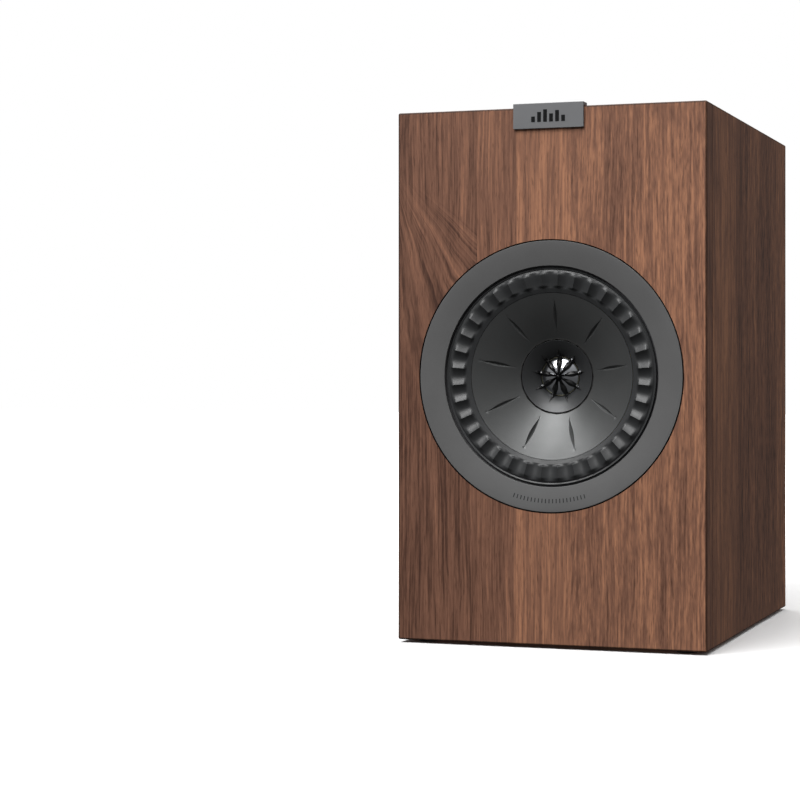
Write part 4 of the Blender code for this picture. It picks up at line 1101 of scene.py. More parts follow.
def build_badge(sizes):
    low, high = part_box("badge_plate")
    lip_z = BAFFLE_HIGH.z + 0.3 * MM
    lip_y = FRONT_Y - 0.3 * MM
    shape = bmesh.new()
    outline = [
        (low.y, low.z),
        (lip_y, low.z),
        (lip_y, lip_z),
        (high.y, lip_z),
        (high.y, high.z),
        (low.y, high.z),
    ]
    verts = [shape.verts.new((low.x, y, z)) for y, z in outline]
    raised = bmesh.ops.extrude_face_region(shape, geom=[shape.faces.new(verts)])["geom"]
    moved = [item for item in raised if isinstance(item, bmesh.types.BMVert)]
    bmesh.ops.translate(shape, verts=moved, vec=(high.x - low.x, 0.0, 0.0))
    layer = shape.edges.layers.float.new("bevel_weight_edge")
    for edge in shape.edges:
        edge[layer] = 1.0
    badge = add_object("badge_cover", mesh_of("badge_cover", shape), looks["badge_grey"])
    settled(bevelled(badge, sizes.badge_round, 3))
    flatten(badge)
    place_piece(badge, "cabinet", "badge_grey", "badge_plate")

    # A plain level-meter sign: bars of different heights standing on one line
    bar, pitch, proud = 2.2 * MM, 3.5 * MM, 0.08 * MM
    shares = (0.45, 0.8, 1.0, 0.65, 0.9, 0.5)
    base_z = (low.z + high.z) / 2 - sizes.emblem_height / 2
    shape = bmesh.new()
    for index, share in enumerate(shares):
        x = (index - (len(shares) - 1) / 2) * pitch
        tall = sizes.emblem_height * share
        add_box(shape, (x, low.y, base_z + tall / 2), (bar, 2 * proud, tall))
    emblem = add_object("badge_emblem", mesh_of("badge_emblem", shape), looks["emblem_black"])
    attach(emblem, "cabinet")


# ---------------------------------------------------------------- driver pieces


def ring_depth(radius, sizes):
    """Depth of the trim ring's dished face."""
    share = (RING_RADIUS - radius) / (RING_RADIUS - sizes.ring_bore)
    return sizes.ring_dish * max(share, 0.0) ** 1.4


def build_trim_ring(sizes):
    bore = sizes.ring_bore
    steps = 20
    edge = 0.35 * MM
    face = []
    for step in range(steps + 1):
        radius = bore + edge + (RING_RADIUS - bore - 2 * edge) * step / steps
        face.append((radius, ring_depth(radius, sizes)))
    outer = rounded(
        [
            (face[-1][0], face[-1][1], 0.0),
            (RING_RADIUS, 0.0, edge),
            (RING_RADIUS, RING_THICKNESS, 0.2 * MM),
            (bore, RING_THICKNESS, 0.2 * MM),
            (bore, ring_depth(bore, sizes), edge),
            (face[0][0], face[0][1], 0.0),
        ]
    )
    profile = face[1:-1] + outer
    ring = lathe("trim_ring_satin", profile, 256, DRIVER, looks["ring_grey"])
    place_piece(ring, "cabinet", "ring_grey", "trim_ring")

    mark_low, mark_high, half = 69.0 * MM, 71.4 * MM, 0.28 * MM
    shape = bmesh.new()
    corners = []
    for radius in (mark_low, mark_high):
        depth = ring_depth(radius, sizes)
        for side in (-half, half):
            for lift in (0.1 * MM, -0.05 * MM):
                corners.append(shape.verts.new((radius, depth + lift, side)))
    for face_ids in ((0, 1, 3, 2), (4, 6, 7, 5), (0, 4, 5, 1), (2, 3, 7, 6), (1, 5, 7, 3), (0, 2, 6, 4)):
        shape.faces.new([corners[k] for k in face_ids])
    mark = add_object("ring_mark", mesh_of("ring_mark", shape))
    span = math.radians(34.0)
    step_angle = span / (sizes.mark_count - 1)
    marks = grown(
        "ring_marks",
        mark,
        trees["ring"],
        DRIVER,
        looks["mark_grey"],
        Count=sizes.mark_count,
        First_Angle=-math.pi / 2 - span / 2,
        Step_Angle=step_angle,
        Weld_Distance=1e-7,
    )
    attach(marks, "cabinet")


def build_surround(sizes):
    """A pleated rubber roll: sharp radial crests with concave scallops between them."""
    bead_top = depths_of("woofer_surround")[0]
    floor_out = bead_top + 0.5 * MM
    flange_slope = 0.36
    inner = CONE_RADIUS - 0.1 * MM
    floor_in = CONE_EDGE_DEPTH + 0.05 * MM - flange_slope * (sizes.rib_end - inner)
    pitch = 2 * math.pi / sizes.rib_count
    front_rows, back_rows, columns = 46, 6, 24
    thickness = 0.7 * MM

    def depth(radius, crest):
        bead = 1.0 - smoothstep(SURROUND_RADIUS - 0.2 * MM, SURROUND_RADIUS, radius)
        bead *= smoothstep(sizes.rib_start + 0.6 * MM, sizes.rib_start + 1.1 * MM, radius)
        share = (sizes.rib_start - radius) / (sizes.rib_start - sizes.rib_end)
        floor = floor_out + (floor_in - floor_out) * smoothstep(0.0, 1.0, share)
        floor += flange_slope * max(sizes.rib_end - radius, 0.0)
        rise = smoothstep(0.0, 0.24, share) * smoothstep(0.0, 0.16, 1.0 - share)
        groove = 0.5 * MM * smoothstep(sizes.rib_start - 0.4 * MM, sizes.rib_start + 0.4 * MM, radius)
        return floor + groove - bead * (floor_out - bead_top) - sizes.rib_height * rise * crest

    def point(row, column):
        side = 2.0 * column / columns - 1.0
        place = side * abs(side) ** 0.3
        crest = (1.0 - abs(place)) ** 1.8
        turn = place * pitch / 2
        if row < front_rows:
            share = row / (front_rows - 1)
            radius = SURROUND_RADIUS + (inner - SURROUND_RADIUS) * share
            return turn, radius, depth(radius, crest)
        share = (row - front_rows) / (back_rows - 1)
        radius = inner + (SURROUND_RADIUS - inner) * share
        return turn, radius, depth(radius, 0.0) + thickness

    source = wedge("surround_rib", front_rows + back_rows, columns, point)
    surround = grown(
        "woofer_surround_ribbed",
        source,
        trees["ring"],
        DRIVER,
        looks["surround_rubber"],
        degrees=50.0,
        Count=sizes.rib_count,
        First_Angle=pitch / 2,
        Step_Angle=pitch,
        Weld_Distance=2e-6,
    )
    flex_piece(
        surround, sizes.rib_start, sizes.rib_end, "woofer_surround"
    )


CONE_NECK_RADIUS = half_width("woofer_coil_former") + 0.3 * MM
CONE_NECK_DEPTH = depths_of("woofer_coil_former")[0]


def cone_depth(radius):
    """A shallow horn, steeper towards its neck."""
    share = (CONE_RADIUS - radius) / (CONE_RADIUS - CONE_NECK_RADIUS)
    straight = CONE_EDGE_DEPTH + (CONE_NECK_DEPTH - CONE_EDGE_DEPTH) * share
    return straight - 0.8 * MM * math.sin(math.pi * min(share, 1.0))


def build_cone(sizes):
    """The cone with its lens-shaped pressed creases."""
    rim = CONE_RADIUS - 0.35 * MM
    neck = WAVEGUIDE_RADIUS + 0.6 * MM
    crease_out, crease_in = 44.0 * MM, 24.5 * MM
    pitch = 2 * math.pi / sizes.crease_count
    front_rows, back_rows, columns = 60, 8, 36
    fold_columns = 8
    lift = 0.1 * MM
    thickness = 0.45 * MM

    def lens(radius):
        share = (radius - crease_in) / (crease_out - crease_in)
        return math.sin(math.pi * share) ** 1.3 if 0.0 < share < 1.0 else 0.0

    def point(row, column):
        middle = columns // 2
        step = column - middle
        if row < front_rows:
            radius = rim + (neck - rim) * row / (front_rows - 1)
        else:
            radius = neck + (rim - neck) * (row - front_rows) / (back_rows - 1)
        half = sizes.crease_width / 2 * lens(radius) + 0.05 * MM
        fold = half / radius
        if abs(step) <= fold_columns:
            turn = fold * step / fold_columns
            groove = sizes.crease_depth * lens(radius) * (1.0 - abs(step) / fold_columns)
        else:
            share = (abs(step) - fold_columns) / (middle - fold_columns)
            turn = math.copysign(fold + (pitch / 2 - fold) * share, step)
            groove = 0.0
        front = cone_depth(radius) - lift
        if row < front_rows:
            return turn, radius, front + groove
        return turn, radius, front + groove + thickness

    source = wedge("cone_wedge", front_rows + back_rows, columns, point)
    cone = grown(
        "woofer_cone_creased",
        source,
        trees["ring"],
        DRIVER,
        looks["cone_metal"],
        degrees=32.0,
        Count=sizes.crease_count,
        First_Angle=math.radians(88.0),
        Step_Angle=pitch,
        Weld_Distance=2e-6,
    )
    place_piece(cone, "woofer_moving", "cone_metal", "woofer_cone")


def build_spider():
    """Corrugated cloth that keeps the coil centred."""
    front, back = depths_of("spider")
    outer = half_width("spider")
    inner = CONE_NECK_RADIUS
    middle = (front + back) / 2
    steps, waves, rise = 72, 6, 0.75 * MM
    flat_out = outer - 3.9 * MM
    cloth = 0.4 * MM

    def fold(radius):
        share = (radius - inner) / (flat_out - inner)
        return middle + rise * math.sin(2 * math.pi * waves * share) if 0 < share < 1 else middle

    radii = [inner + (outer - inner) * step / steps for step in range(steps + 1)]
    profile = [(radius, fold(radius) - cloth / 2) for radius in radii]
    profile += [(radius, fold(radius) + cloth / 2) for radius in reversed(radii)]
    spider = lathe("spider_corrugated", profile, 96, DRIVER, looks["spider_cloth"], 60.0)
    flex_piece(spider, flat_out, inner, "spider")


THROAT_RADIUS = DOME_RADIUS + 0.35 * MM
THROAT_DEPTH = DOME_BACK - 1.5 * MM
DOME_RISE = THROAT_DEPTH - DOME_APEX


def waveguide_depth(radius):
    share = max((radius - THROAT_RADIUS) / (WAVEGUIDE_RADIUS - THROAT_RADIUS), 0.0)
    return THROAT_DEPTH - (THROAT_DEPTH - WAVEGUIDE_DEPTH) * share**0.66


def dome_depth(radius):
    ball = (DOME_RADIUS**2 + DOME_RISE**2) / (2 * DOME_RISE)
    return DOME_APEX + ball - math.sqrt(ball**2 - radius**2)


def build_waveguide():
    steps = 40
    face = []
    for step in range(steps + 1):
        radius = THROAT_RADIUS + (WAVEGUIDE_RADIUS - 0.25 * MM - THROAT_RADIUS) * (step / steps) ** 1.3
        face.append((radius, waveguide_depth(radius)))
    pocket = half_width("tweeter_suspension") + 0.3 * MM
    throat_back = THROAT_DEPTH + 0.7 * MM
    rim = WAVEGUIDE_DEPTH + 0.05 * MM
    back = rounded(
        [
            (face[-1][0], face[-1][1], 0.0),
            (WAVEGUIDE_RADIUS, rim, 0.25 * MM),
            (WAVEGUIDE_RADIUS, WAVEGUIDE_BACK, 0.2 * MM),
            (pocket, WAVEGUIDE_BACK, 0.0),
            (pocket, throat_back, 0.0),
            (THROAT_RADIUS, throat_back, 0.15 * MM),
            (face[0][0], face[0][1], 0.0),
        ]
    )
    profile = face[1:-1] + back
    guide = lathe("tweeter_waveguide_smooth", profile, 192, DRIVER, looks["waveguide_grey"], 30.0)
    place_piece(guide, "cabinet", "waveguide_grey", "tweeter_waveguide")


def build_dome():
    steps = 28
    wall = 0.3 * MM
    outer = []
    inner = []
    for step in range(steps + 1):
        radius = DOME_RADIUS * math.sin(math.pi / 2 * step / steps)
        outer.append((radius, dome_depth(radius)))
        inner.append((radius * (1.0 - wall / DOME_RADIUS), dome_depth(radius) + wall))
    skirt = [(DOME_RADIUS, DOME_BACK), (DOME_RADIUS - wall, DOME_BACK)]
    profile = outer + skirt + inner[::-1]
    shell = lathe("dome_shell", profile, 128, DRIVER, looks["dome_aluminium"])
    bead_radius = 0.22 * MM
    bead = []
    for step in range(12):
        turn = 2 * math.pi * step / 12
        radius = DOME_RADIUS - 0.12 * MM + bead_radius * math.cos(turn)
        bead.append((radius, THROAT_DEPTH - 0.12 * MM + bead_radius * math.sin(turn)))
    edge = lathe("dome_bead", bead, 128, DRIVER, looks["dome_edge"])
    dome = join("tweeter_dome_polished", shell, edge)
    place_piece(dome, "tweeter_moving", "dome_aluminium", "tweeter_dome")


def build_tweeter_suspension():
    """The half-roll of rubber behind the throat's lip."""
    back_depth = depths_of("tweeter_suspension")[1]
    outer_radius = half_width("tweeter_suspension")
    inner_radius = DOME_RADIUS + 0.3 * MM
    wall, rise = 0.2 * MM, 0.25 * MM
    roll = []
    steps = 16
    for step in range(steps + 1):
        share = step / steps
        radius = inner_radius + (outer_radius - inner_radius) * share
        roll.append((radius, back_depth - wall - rise * math.sin(math.pi * share)))
    back = [(radius, depth + wall) for radius, depth in reversed(roll)]
    suspension = lathe(
        "tweeter_suspension_roll", roll + back, 96, DRIVER, looks["surround_rubber"], 60.0
    )
    flex_piece(
        suspension,
        outer_radius - 0.3 * MM,
        inner_radius,
        "tweeter_suspension",
    )


def along_stations(stations, radius):
    """A value that runs smoothly through (radius, value) stations."""
    for (near, first), (far, second) in zip(stations, stations[1:]):
        if radius <= far:
            return first + (second - first) * smoothstep(near, far, radius)
    return stations[-1][1]


def build_phase_plug(sizes):
    """A pointed hub with ridged leaf-shaped fins whose spikes lie on the waveguide."""
    tip_depth = depths_of("phase_plug")[0]
    reach = half_width("phase_plug")
    fin_reach = max(reach, THROAT_RADIUS + 4.2 * MM)
    clearance = 0.75 * MM
    widths = (
        (0.3 * MM, 0.35 * MM),
        (3.4 * MM, 0.70 * MM),
        (8.0 * MM, 1.60 * MM),
        (11.2 * MM, 1.15 * MM),
        (fin_reach, 0.03 * MM),
    )
    crests = (
        (0.3 * MM, 1.9 * MM),
        (3.4 * MM, 1.6 * MM),
        (7.0 * MM, 1.25 * MM),
        (10.6 * MM, 1.0 * MM),
        (fin_reach, 0.06 * MM),
    )

    def back(radius):
        over_dome = dome_depth(min(radius, DOME_RADIUS)) - clearance
        over_guide = waveguide_depth(max(radius, THROAT_RADIUS)) - 0.3 * MM
        return over_dome + (over_guide - over_dome) * smoothstep(
            DOME_RADIUS * 0.93, THROAT_RADIUS * 1.12, radius
        )

    rows = 30
    shape = bmesh.new()
    sections = []
    for row in range(rows + 1):
        radius = 0.3 * MM + (fin_reach - 0.3 * MM) * row / rows
        half = along_stations(widths, radius)
        crest = along_stations(crests, radius)
        behind = back(radius)
        section = [
            (-half, behind),
            (-half, behind - 0.18 * crest),
            (-0.45 * half, behind - 0.72 * crest),
            (0.0, behind - crest),
            (0.45 * half, behind - 0.72 * crest),
            (half, behind - 0.18 * crest),
            (half, behind),
        ]
        sections.append([shape.verts.new((radius, depth, side)) for side, depth in section])
    add_skin(shape, sections)
    shape.faces.new(sections[-1])
    source = add_object("plug_fin", mesh_of("plug_fin", shape))
    pitch = 2 * math.pi / sizes.fin_count
    fins = grown(
        "plug_fins",
        source,
        trees["ring"],
        DRIVER,
        looks["plug_black"],
        Count=sizes.fin_count,
        First_Angle=math.pi / 2,
        Step_Angle=pitch,
        Weld_Distance=1e-7,
    )
    hub_back = back(0.0)
    hub = rounded(
        [
            (0.0, tip_depth, 0.0),
            (0.5 * MM, tip_depth + 0.05 * MM, 0.3 * MM),
            (1.6 * MM, hub_back - 0.6 * MM, 0.4 * MM),
            (1.5 * MM, hub_back, 0.2 * MM),
            (0.0, hub_back, 0.0),
        ]
    )
    nose = lathe("plug_hub", hub, 64, DRIVER, looks["plug_black"], 50.0)
    plug = join("phase_plug_finned", fins, nose)
    place_piece(plug, "cabinet", "black_plastic", "phase_plug")


# ---------------------------------------------------------------- rear pieces


def build_port(sizes):
    inner_end, proud = heights_of("port_outer_flare")
    flange = half_width("port_outer_flare")
    mouth = flange - 2.0 * MM
    flare_start = -16.0 * MM
    wall = 3.0 * MM
    steps = 28
    flare = []
    for step in range(steps + 1):
        turn = math.pi / 2 * step / steps
        radius = sizes.port_bore + (mouth - sizes.port_bore) * (1.0 - math.cos(turn))
        flare.append((radius, flare_start + (proud - flare_start) * math.sin(turn)))
    outer = rounded(
        [
            (flare[-1][0], flare[-1][1], 0.0),
            (flange, proud, 1.2 * MM),
            (flange, 0.3 * MM, 0.2 * MM),
            (PORT_SPIGOT, 0.3 * MM, 0.0),
            (PORT_SPIGOT, flare_start / 2, 0.0),
            (sizes.port_bore + wall, flare_start, 0.0),
            (sizes.port_bore + wall, inner_end, 0.0),
            (sizes.port_bore, inner_end, 0.2 * MM),
            (flare[0][0], flare[0][1], 0.0),
        ]
    )
    port = lathe("port_flare_moulded", flare[1:-1] + outer, 160, PORT, looks["port_plastic"], 40.0)
    place_piece(port, "cabinet", "black_plastic", "port_outer_flare")

    tube_far, tube_near = heights_of("port_tube")
    tail_radius = half_width("port_tube") - wall
    tail = []
    tail_length, tail_steps = 12.0 * MM, 12
    for step in range(tail_steps + 1):
        turn = math.pi / 2 * step / tail_steps
        radius = sizes.port_bore + (tail_radius - sizes.port_bore) * (1.0 - math.cos(turn))
        tail.append((radius, tube_far + tail_length * (1.0 - math.sin(turn))))
    shell = [(sizes.port_bore, tube_near)] + tail
    back = [(radius + wall, depth) for radius, depth in reversed(tail)]
    profile = shell + back + [(sizes.port_bore + wall, tube_near)]
    tube = lathe("port_tube_moulded", profile, 96, PORT, looks["port_plastic"], 40.0)
    place_piece(tube, "cabinet", "black_plastic", "port_tube")


def round_rectangle(width, tall, corner, steps=8):
    made = []
    for k, (sx, sz) in enumerate(((1, 1), (-1, 1), (-1, -1), (1, -1))):
        for step in range(steps + 1):
            turn = math.pi / 2 * (k + step / steps)
            x = sx * (width / 2 - corner) + corner * math.cos(turn)
            made.append((x, sz * (tall / 2 - corner) + corner * math.sin(turn)))
    return made


def plate_mesh(name, layers):
    """A closed plate from (outline, depth) layers, each with the same number of points."""
    shape = bmesh.new()
    rows = [[shape.verts.new((x, depth, z)) for x, z in outline] for outline, depth in layers]
    add_skin(shape, rows)
    shape.faces.new(list(reversed(rows[-1])))
    return mesh_of(name, shape)


def build_terminal_plate():
    near, far = heights_of("terminal_plate")
    low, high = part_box("terminal_plate")
    width, tall = high.x - low.x, high.z - low.z
    corner, edge, lip = 5.0 * MM, 0.7 * MM, 2.2 * MM
    sunk = 0.7 * MM

    def outline(inset):
        return round_rectangle(width - 2 * inset, tall - 2 * inset, corner - inset)

    layers = [(outline(0.0), near), (outline(0.0), far - edge)]
    for step in range(1, 5):
        turn = math.pi / 2 * step / 4
        layers.append((outline(edge * (1 - math.cos(turn))), far - edge + edge * math.sin(turn)))
    layers += [(outline(lip), far), (outline(lip + 0.5 * MM), far - sunk)]
    look = looks["black_plastic"]
    mesh = plate_mesh("terminal_plate_moulded", layers)
    mesh.transform(Matrix.Translation(TERMINAL))
    plate = add_object("terminal_plate_moulded", mesh, look)
    posts = [(place.x, place.z) for place in POST_PLACES.values()]
    start, end = BACK_Y - 5 * MM, BACK_Y + 10 * MM
    bores = drill("post_bores", POST_BORE, start, end, posts, look)
    screw_bores = drill("plate_screw_bores", SCREW_BORE, start, end, SCREW_PLACES, look, 24)
    carve(plate, bores, screw_bores)
    smooth(plate.data, 30.0)

    def boss(name, spot, bore, foot, top, soft, segments):
        """A raised ring on the sunk floor of the plate."""
        floor = far - sunk - 0.2 * MM
        corners = [(bore, floor, 0.0), (foot, floor, 0.0), (top, far, soft), (bore, far, 0.1 * MM)]
        return lathe(name, rounded(corners), segments, Vector((spot[0], BACK_Y, spot[1])), look)

    extras = []
    for k, spot in enumerate(SCREW_PLACES):
        extras.append(boss(f"screw_boss_{k}", spot, SCREW_BORE, 3.9 * MM, 3.7 * MM, 0.2 * MM, 48))
    for side, spot in zip(POST_PLACES, posts):
        extras.append(boss(f"{side}_boss", spot, POST_BORE, 8.9 * MM, 8.6 * MM, 0.25 * MM, 64))

    # A raised plus sign over the red post and a minus sign over the black one
    arm, bar, tall = 3.4 * MM, 0.84 * MM, 0.7 * MM
    sign_y = BACK_Y + far - sunk + 0.15 * MM
    sign_z = TERMINAL.z + 13.6 * MM
    shape = bmesh.new()
    for side, size in (("red", (arm, tall, bar)), ("red", (bar, tall, arm)), ("black", (arm, tall, bar))):
        add_box(shape, (POST_PLACES[side].x, sign_y, sign_z), size)
    extras.append(add_object("polarity_signs", plain_mesh("polarity_signs", shape), look))
    made = join("terminal_plate_finished", plate, *extras)
    place_piece(made, "cabinet", "black_plastic", "terminal_plate")


def build_terminal_screws():
    """Pan-head screws with a cross recess."""
    low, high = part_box("terminal_screw_1")
    head_radius = (high.x - low.x) / 2
    shank, pitch = 1.5 * MM, 1.1 * MM
    root = shank * 0.72
    near, far = heights_of("terminal_screw_1")
    seat = heights_of("terminal_plate")[1] + 0.3 * MM
    profile = [(0.0, near), (0.35 * MM, near + 0.5 * MM)]
    thread_start, thread_end = near + 1.4 * MM, seat - 1.0 * MM
    ridges = int((thread_end - thread_start) / pitch)
    for ridge in range(ridges):
        depth = thread_start + ridge * pitch
        profile.append((root, depth))
        profile.append((shank, depth + 0.35 * pitch))
        profile.append((root, depth + 0.7 * pitch))
    profile += rounded(
        [
            (shank * 0.8, seat, 0.0),
            (head_radius, seat, 0.15 * MM),
            (head_radius, seat + 0.9 * MM, 0.5 * MM),
            (head_radius * 0.62, far, 0.8 * MM),
            (0.0, far, 0.0),
        ]
    )
    head = lathe("terminal_screw", profile, 32, (0.0, 0.0, 0.0), looks["screw_black"])
    shape = bmesh.new()
    slot_length, slot_width, slot_depth = 3.5 * MM, 0.64 * MM, 0.95 * MM
    for size in ((slot_length, 2 * slot_depth, slot_width), (slot_width, 2 * slot_depth, slot_length)):
        add_box(shape, (0.0, far, 0.0), size)
    cross = add_object("cross_recess", plain_mesh("cross_recess", shape), looks["screw_black"])
    carve(head, cross)
    across, along = (max(values) - min(values) for values in zip(*SCREW_PLACES))
    screws = grown(
        "terminal_screws_crosshead",
        head,
        trees["corner"],
        TERMINAL,
        looks["screw_black"],
        Across=across,
        Along=along,
        Tilt=math.pi / 2,
    )
    place_piece(screws, "cabinet", "screw_black", *TERMINAL_SCREWS)


def post_ring(name, node, look, edge):
    """A washer-shaped piece round a stud."""
    near, far = heights_of(node)
    radius = half_width(node)
    corners = [
        (POST_BORE, near, 0.1 * MM),
        (radius, near, edge),
        (radius, far, edge),
        (POST_BORE, far, 0.1 * MM),
    ]
    place = Vector((centre_of(node).x, BACK_Y, TERMINAL.z))
    return lathe(name, rounded(corners), 64, place, look)


def build_stud(side, sizes):
    """A threaded stud with the plug socket down its middle."""
    near, far = heights_of(f"{side}_post_stud")
    radius = half_width(f"{side}_post_stud")
    socket_radius, socket_depth = 2.05 * MM, 13.0 * MM
    end_chamfer = 0.35 * MM
    segments = 40
    rows_in_pitch = 6
    thread_start, thread_end = near + 1.0 * MM, far - 1.2 * MM
    turns = (thread_end - thread_start) / sizes.thread_pitch
    rows = int(turns * rows_in_pitch)
    shape = bmesh.new()
    lines = []

    def line(radius_at, depth):
        made = []
        for k in range(segments):
            turn = 2 * math.pi * k / segments
            reach = radius_at(turn)
            made.append(shape.verts.new((reach * math.cos(turn), depth, reach * math.sin(turn))))
        lines.append(made)

    line(lambda turn: radius - end_chamfer, near)
    line(lambda turn: radius - 0.05 * MM, near + 0.3 * MM)
    for row in range(rows + 1):
        depth = thread_start + (thread_end - thread_start) * row / rows
        fade = smoothstep(0, rows_in_pitch, row) * smoothstep(0, rows_in_pitch, rows - row)

        def threaded(turn, depth=depth, fade=fade):
            wave = 0.5 - 0.5 * math.cos(2 * math.pi * depth / sizes.thread_pitch - turn)
            return radius - sizes.thread_depth * fade * wave

        line(threaded, depth)
    line(lambda turn: radius, far - 0.5 * MM)
    line(lambda turn: radius - end_chamfer, far)
    line(lambda turn: socket_radius + 0.2 * MM, far)
    line(lambda turn: socket_radius, far - 0.2 * MM)
    line(lambda turn: socket_radius, far - socket_depth)
    add_skin(shape, lines)
    shape.faces.new(lines[-1])
    mesh = smooth(mesh_of(f"{side}_stud_threaded", shape), 50.0)
    mesh.transform(Matrix.Translation(POST_PLACES[side]))
    stud = add_object(f"{side}_stud_threaded", mesh, looks["brass"])
    place_piece(stud, "cabinet", "brass", f"{side}_post_stud")


def build_cap(side, slot, sizes):
    """A fluted cap, made of one flute's wedge turned round its axis."""
    near, far = heights_of(f"{side}_post_cap")
    radius = half_width(f"{side}_post_cap")
    corners = [
        (POST_BORE, near, 0.1 * MM),
        (radius, near, 0.3 * MM),
        (radius, near + 1.3 * MM, 0.1 * MM),
        (radius, near + 2.2 * MM, 0.1 * MM),
        (radius, far - 2.0 * MM, 0.2 * MM),
        (radius - 0.9 * MM, far, 0.6 * MM),
        (POST_BORE + 0.9 * MM, far, 0.1 * MM),
        (POST_BORE, far - 0.7 * MM, 0.1 * MM),
    ]
    profile = rounded(corners, 3)
    pitch = 2 * math.pi / sizes.flute_count
    columns = 10

    def point(row, column):
        reach, depth = profile[row]
        turn = pitch * (column / columns - 0.5)
        grip = smoothstep(near + 1.4 * MM, near + 2.4 * MM, depth)
        grip *= smoothstep(far - 0.1 * MM, far - 1.8 * MM, depth)
        outer = smoothstep(radius - 1.5 * MM, radius - 0.6 * MM, reach)
        flute = math.cos(math.pi * turn / pitch) ** 2
        return turn, reach - sizes.flute_depth * grip * outer * flute, depth

    source = wedge(f"{side}_flute", len(profile), columns, point)
    cap = grown(
        f"{side}_cap_fluted",
        source,
        trees["ring"],
        POST_PLACES[side],
        looks[slot],
        degrees=40.0,
        Count=sizes.flute_count,
        First_Angle=0.0,
        Step_Angle=pitch,
        Weld_Distance=2e-6,
    )
    place_piece(cap, f"{side}_cap", slot, f"{side}_post_cap")


def build_post(side, slot, sizes):
    """One binding post: collar, clamp washer, threaded stud and fluted cap."""
    collar = post_ring(f"{side}_collar_moulded", f"{side}_post_collar", looks[slot], 0.5 * MM)
    place_piece(collar, "cabinet", slot, f"{side}_post_collar")
    washer = post_ring(f"{side}_washer_turned", f"{side}_clamp_washer", looks["brass"], 0.25 * MM)
    place_piece(washer, f"{side}_clamp", "brass", f"{side}_clamp_washer")
    build_stud(side, sizes)
    build_cap(side, slot, sizes)


# ---------------------------------------------------------------- inner solids

INNER_LOOKS = {
    "window_brace": "raw_board",
    "magnet_damping_ring": "rubber",
    "damping_wadding": "wadding",
    "driver_gasket": "foam",
    "driver_chassis": "cast_frame",
    **{f"driver_screw_{k}": "screw_black" for k in range(1, 5)},
    "woofer_coil_former": "brown_former",
    "woofer_voice_coil": "coil_copper",
    "front_plate": "steel",
    "ferrite_magnet": "ferrite",
    "rear_yoke": "steel",
    "tweeter_voice_coil": "coil_copper",
    "tweeter_top_plate": "steel",
    "tweeter_magnet": "neodymium",
    "tweeter_yoke": "steel",
    "tweeter_damping_tube": "black_plastic",
    "terminal_gasket": "foam",
    "crossover_board": "board_green",
    "woofer_inductor": "inductor_copper",
    "tweeter_inductor": "inductor_copper",
    "woofer_capacitor": "black_plastic",
    "tweeter_capacitor": "capacitor_film",
    "tweeter_resistor": "resistor_white",
}


def finish_inner_solids():
    for node, look in INNER_LOOKS.items():
        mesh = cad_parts[node].data
        mesh.materials.clear()
        mesh.materials.append(looks[look])


# ---------------------------------------------------------------- stage


def build_floor(sizes):
    half = sizes.floor_size / 2
    shape = bmesh.new()
    corners = ((-half, -half), (half, -half), (half, half), (-half, half))
    shape.faces.new([shape.verts.new((x, y, 0.0)) for x, y in corners])
    mesh = plain_mesh("studio_floor", shape)
    net, shader = open_material("studio_floor", specular=0.0)
    distance = net.node("ShaderNodeVectorMath", operation="LENGTH")
    net.feed(distance.inputs[0], object_place(net))
    glow = net.step(distance.outputs["Value"], 0.35, 1.3)
    net.feed(shader["Emission Color"], net.mix(glow, (0.0, 0.0, 0.0, 1.0), (1.0, 1.0, 1.0, 1.0)))
    shader["Emission Strength"].default_value = 1.0
    shade = (*sizes.floor_colour, 1.0)
    place = object_place(net)
    made = mottled(net, place, shade, shade, patch=3.0, grain=900.0, roughness=0.6, spread=0.05)
    paint(net, shader, made)
    floor = add_object("studio_floor", mesh, looks["studio_floor"])
    floor.visible_diffuse = False
    floor.visible_glossy = False


def add_softbox(name, place, target, size, power):
    data = bpy.data.lights.new(name, "AREA")
    data.shape = "RECTANGLE"
    data.size, data.size_y = size
    data.energy = power
    made = linked(name, data)
    made.location = place
    made.rotation_euler = (Vector(target) - Vector(place)).to_track_quat("-Z", "Y").to_euler()


# Where each softbox stands, its two sides in metres and its power in watts
SOFTBOXES = {
    "key_softbox": ((-0.52, -1.42, 1.73), (1.4, 1.3), 43.5),
    "top_softbox": ((0.0, -0.15, 1.75), (2.2, 2.2), 26.0),
    "back_softbox": ((-0.7, 1.9, 1.2), (1.3, 1.3), 14.0),
}
# The sky's grey level from straight down (0) through the horizon (0.5) to straight up (1)
SKY = ((0.0, 0.06), (0.47, 0.12), (0.56, 0.18), (1.0, 0.62))


def build_lights():
    for name, (place, size, power) in SOFTBOXES.items():
        add_softbox(name, place, (0.0, 0.0, DRIVER.z), size, power)


def build_world():
    """White to the camera, and a soft grey sky, darker below, to everything else."""
    world = bpy.data.worlds.new("studio_sky")
    bpy.context.scene.world = world
    world.use_nodes = True
    net = Net(world.node_tree)
    background = world.node_tree.nodes["Background"]
    height = net.parts(net.node("ShaderNodeTexCoord").outputs["Generated"])[2]
    sky = net.ramp(net.total(net.scaled(height, 0.5), 0.5), SKY)
    camera = net.node("ShaderNodeLightPath").outputs["Is Camera Ray"]
    net.feed(background.inputs["Color"], net.mix(camera, sky, (1.0, 1.0, 1.0, 1.0)))
    background.inputs["Strength"].default_value = 1.0


def build_camera(sizes):
    data = bpy.data.cameras.new("studio_camera")
    data.lens = sizes.camera_lens
    data.sensor_width = 36.0
    data.shift_y = sizes.camera_rise
    data.clip_start, data.clip_end = 0.05, 60.0
    made = linked("studio_camera", data)
    made.location = sizes.camera_place
    made.rotation_euler = (math.pi / 2, 0.0, sizes.camera_turn)
    bpy.context.scene.camera = made
    bpy.context.scene.view_settings.view_transform = "Standard"


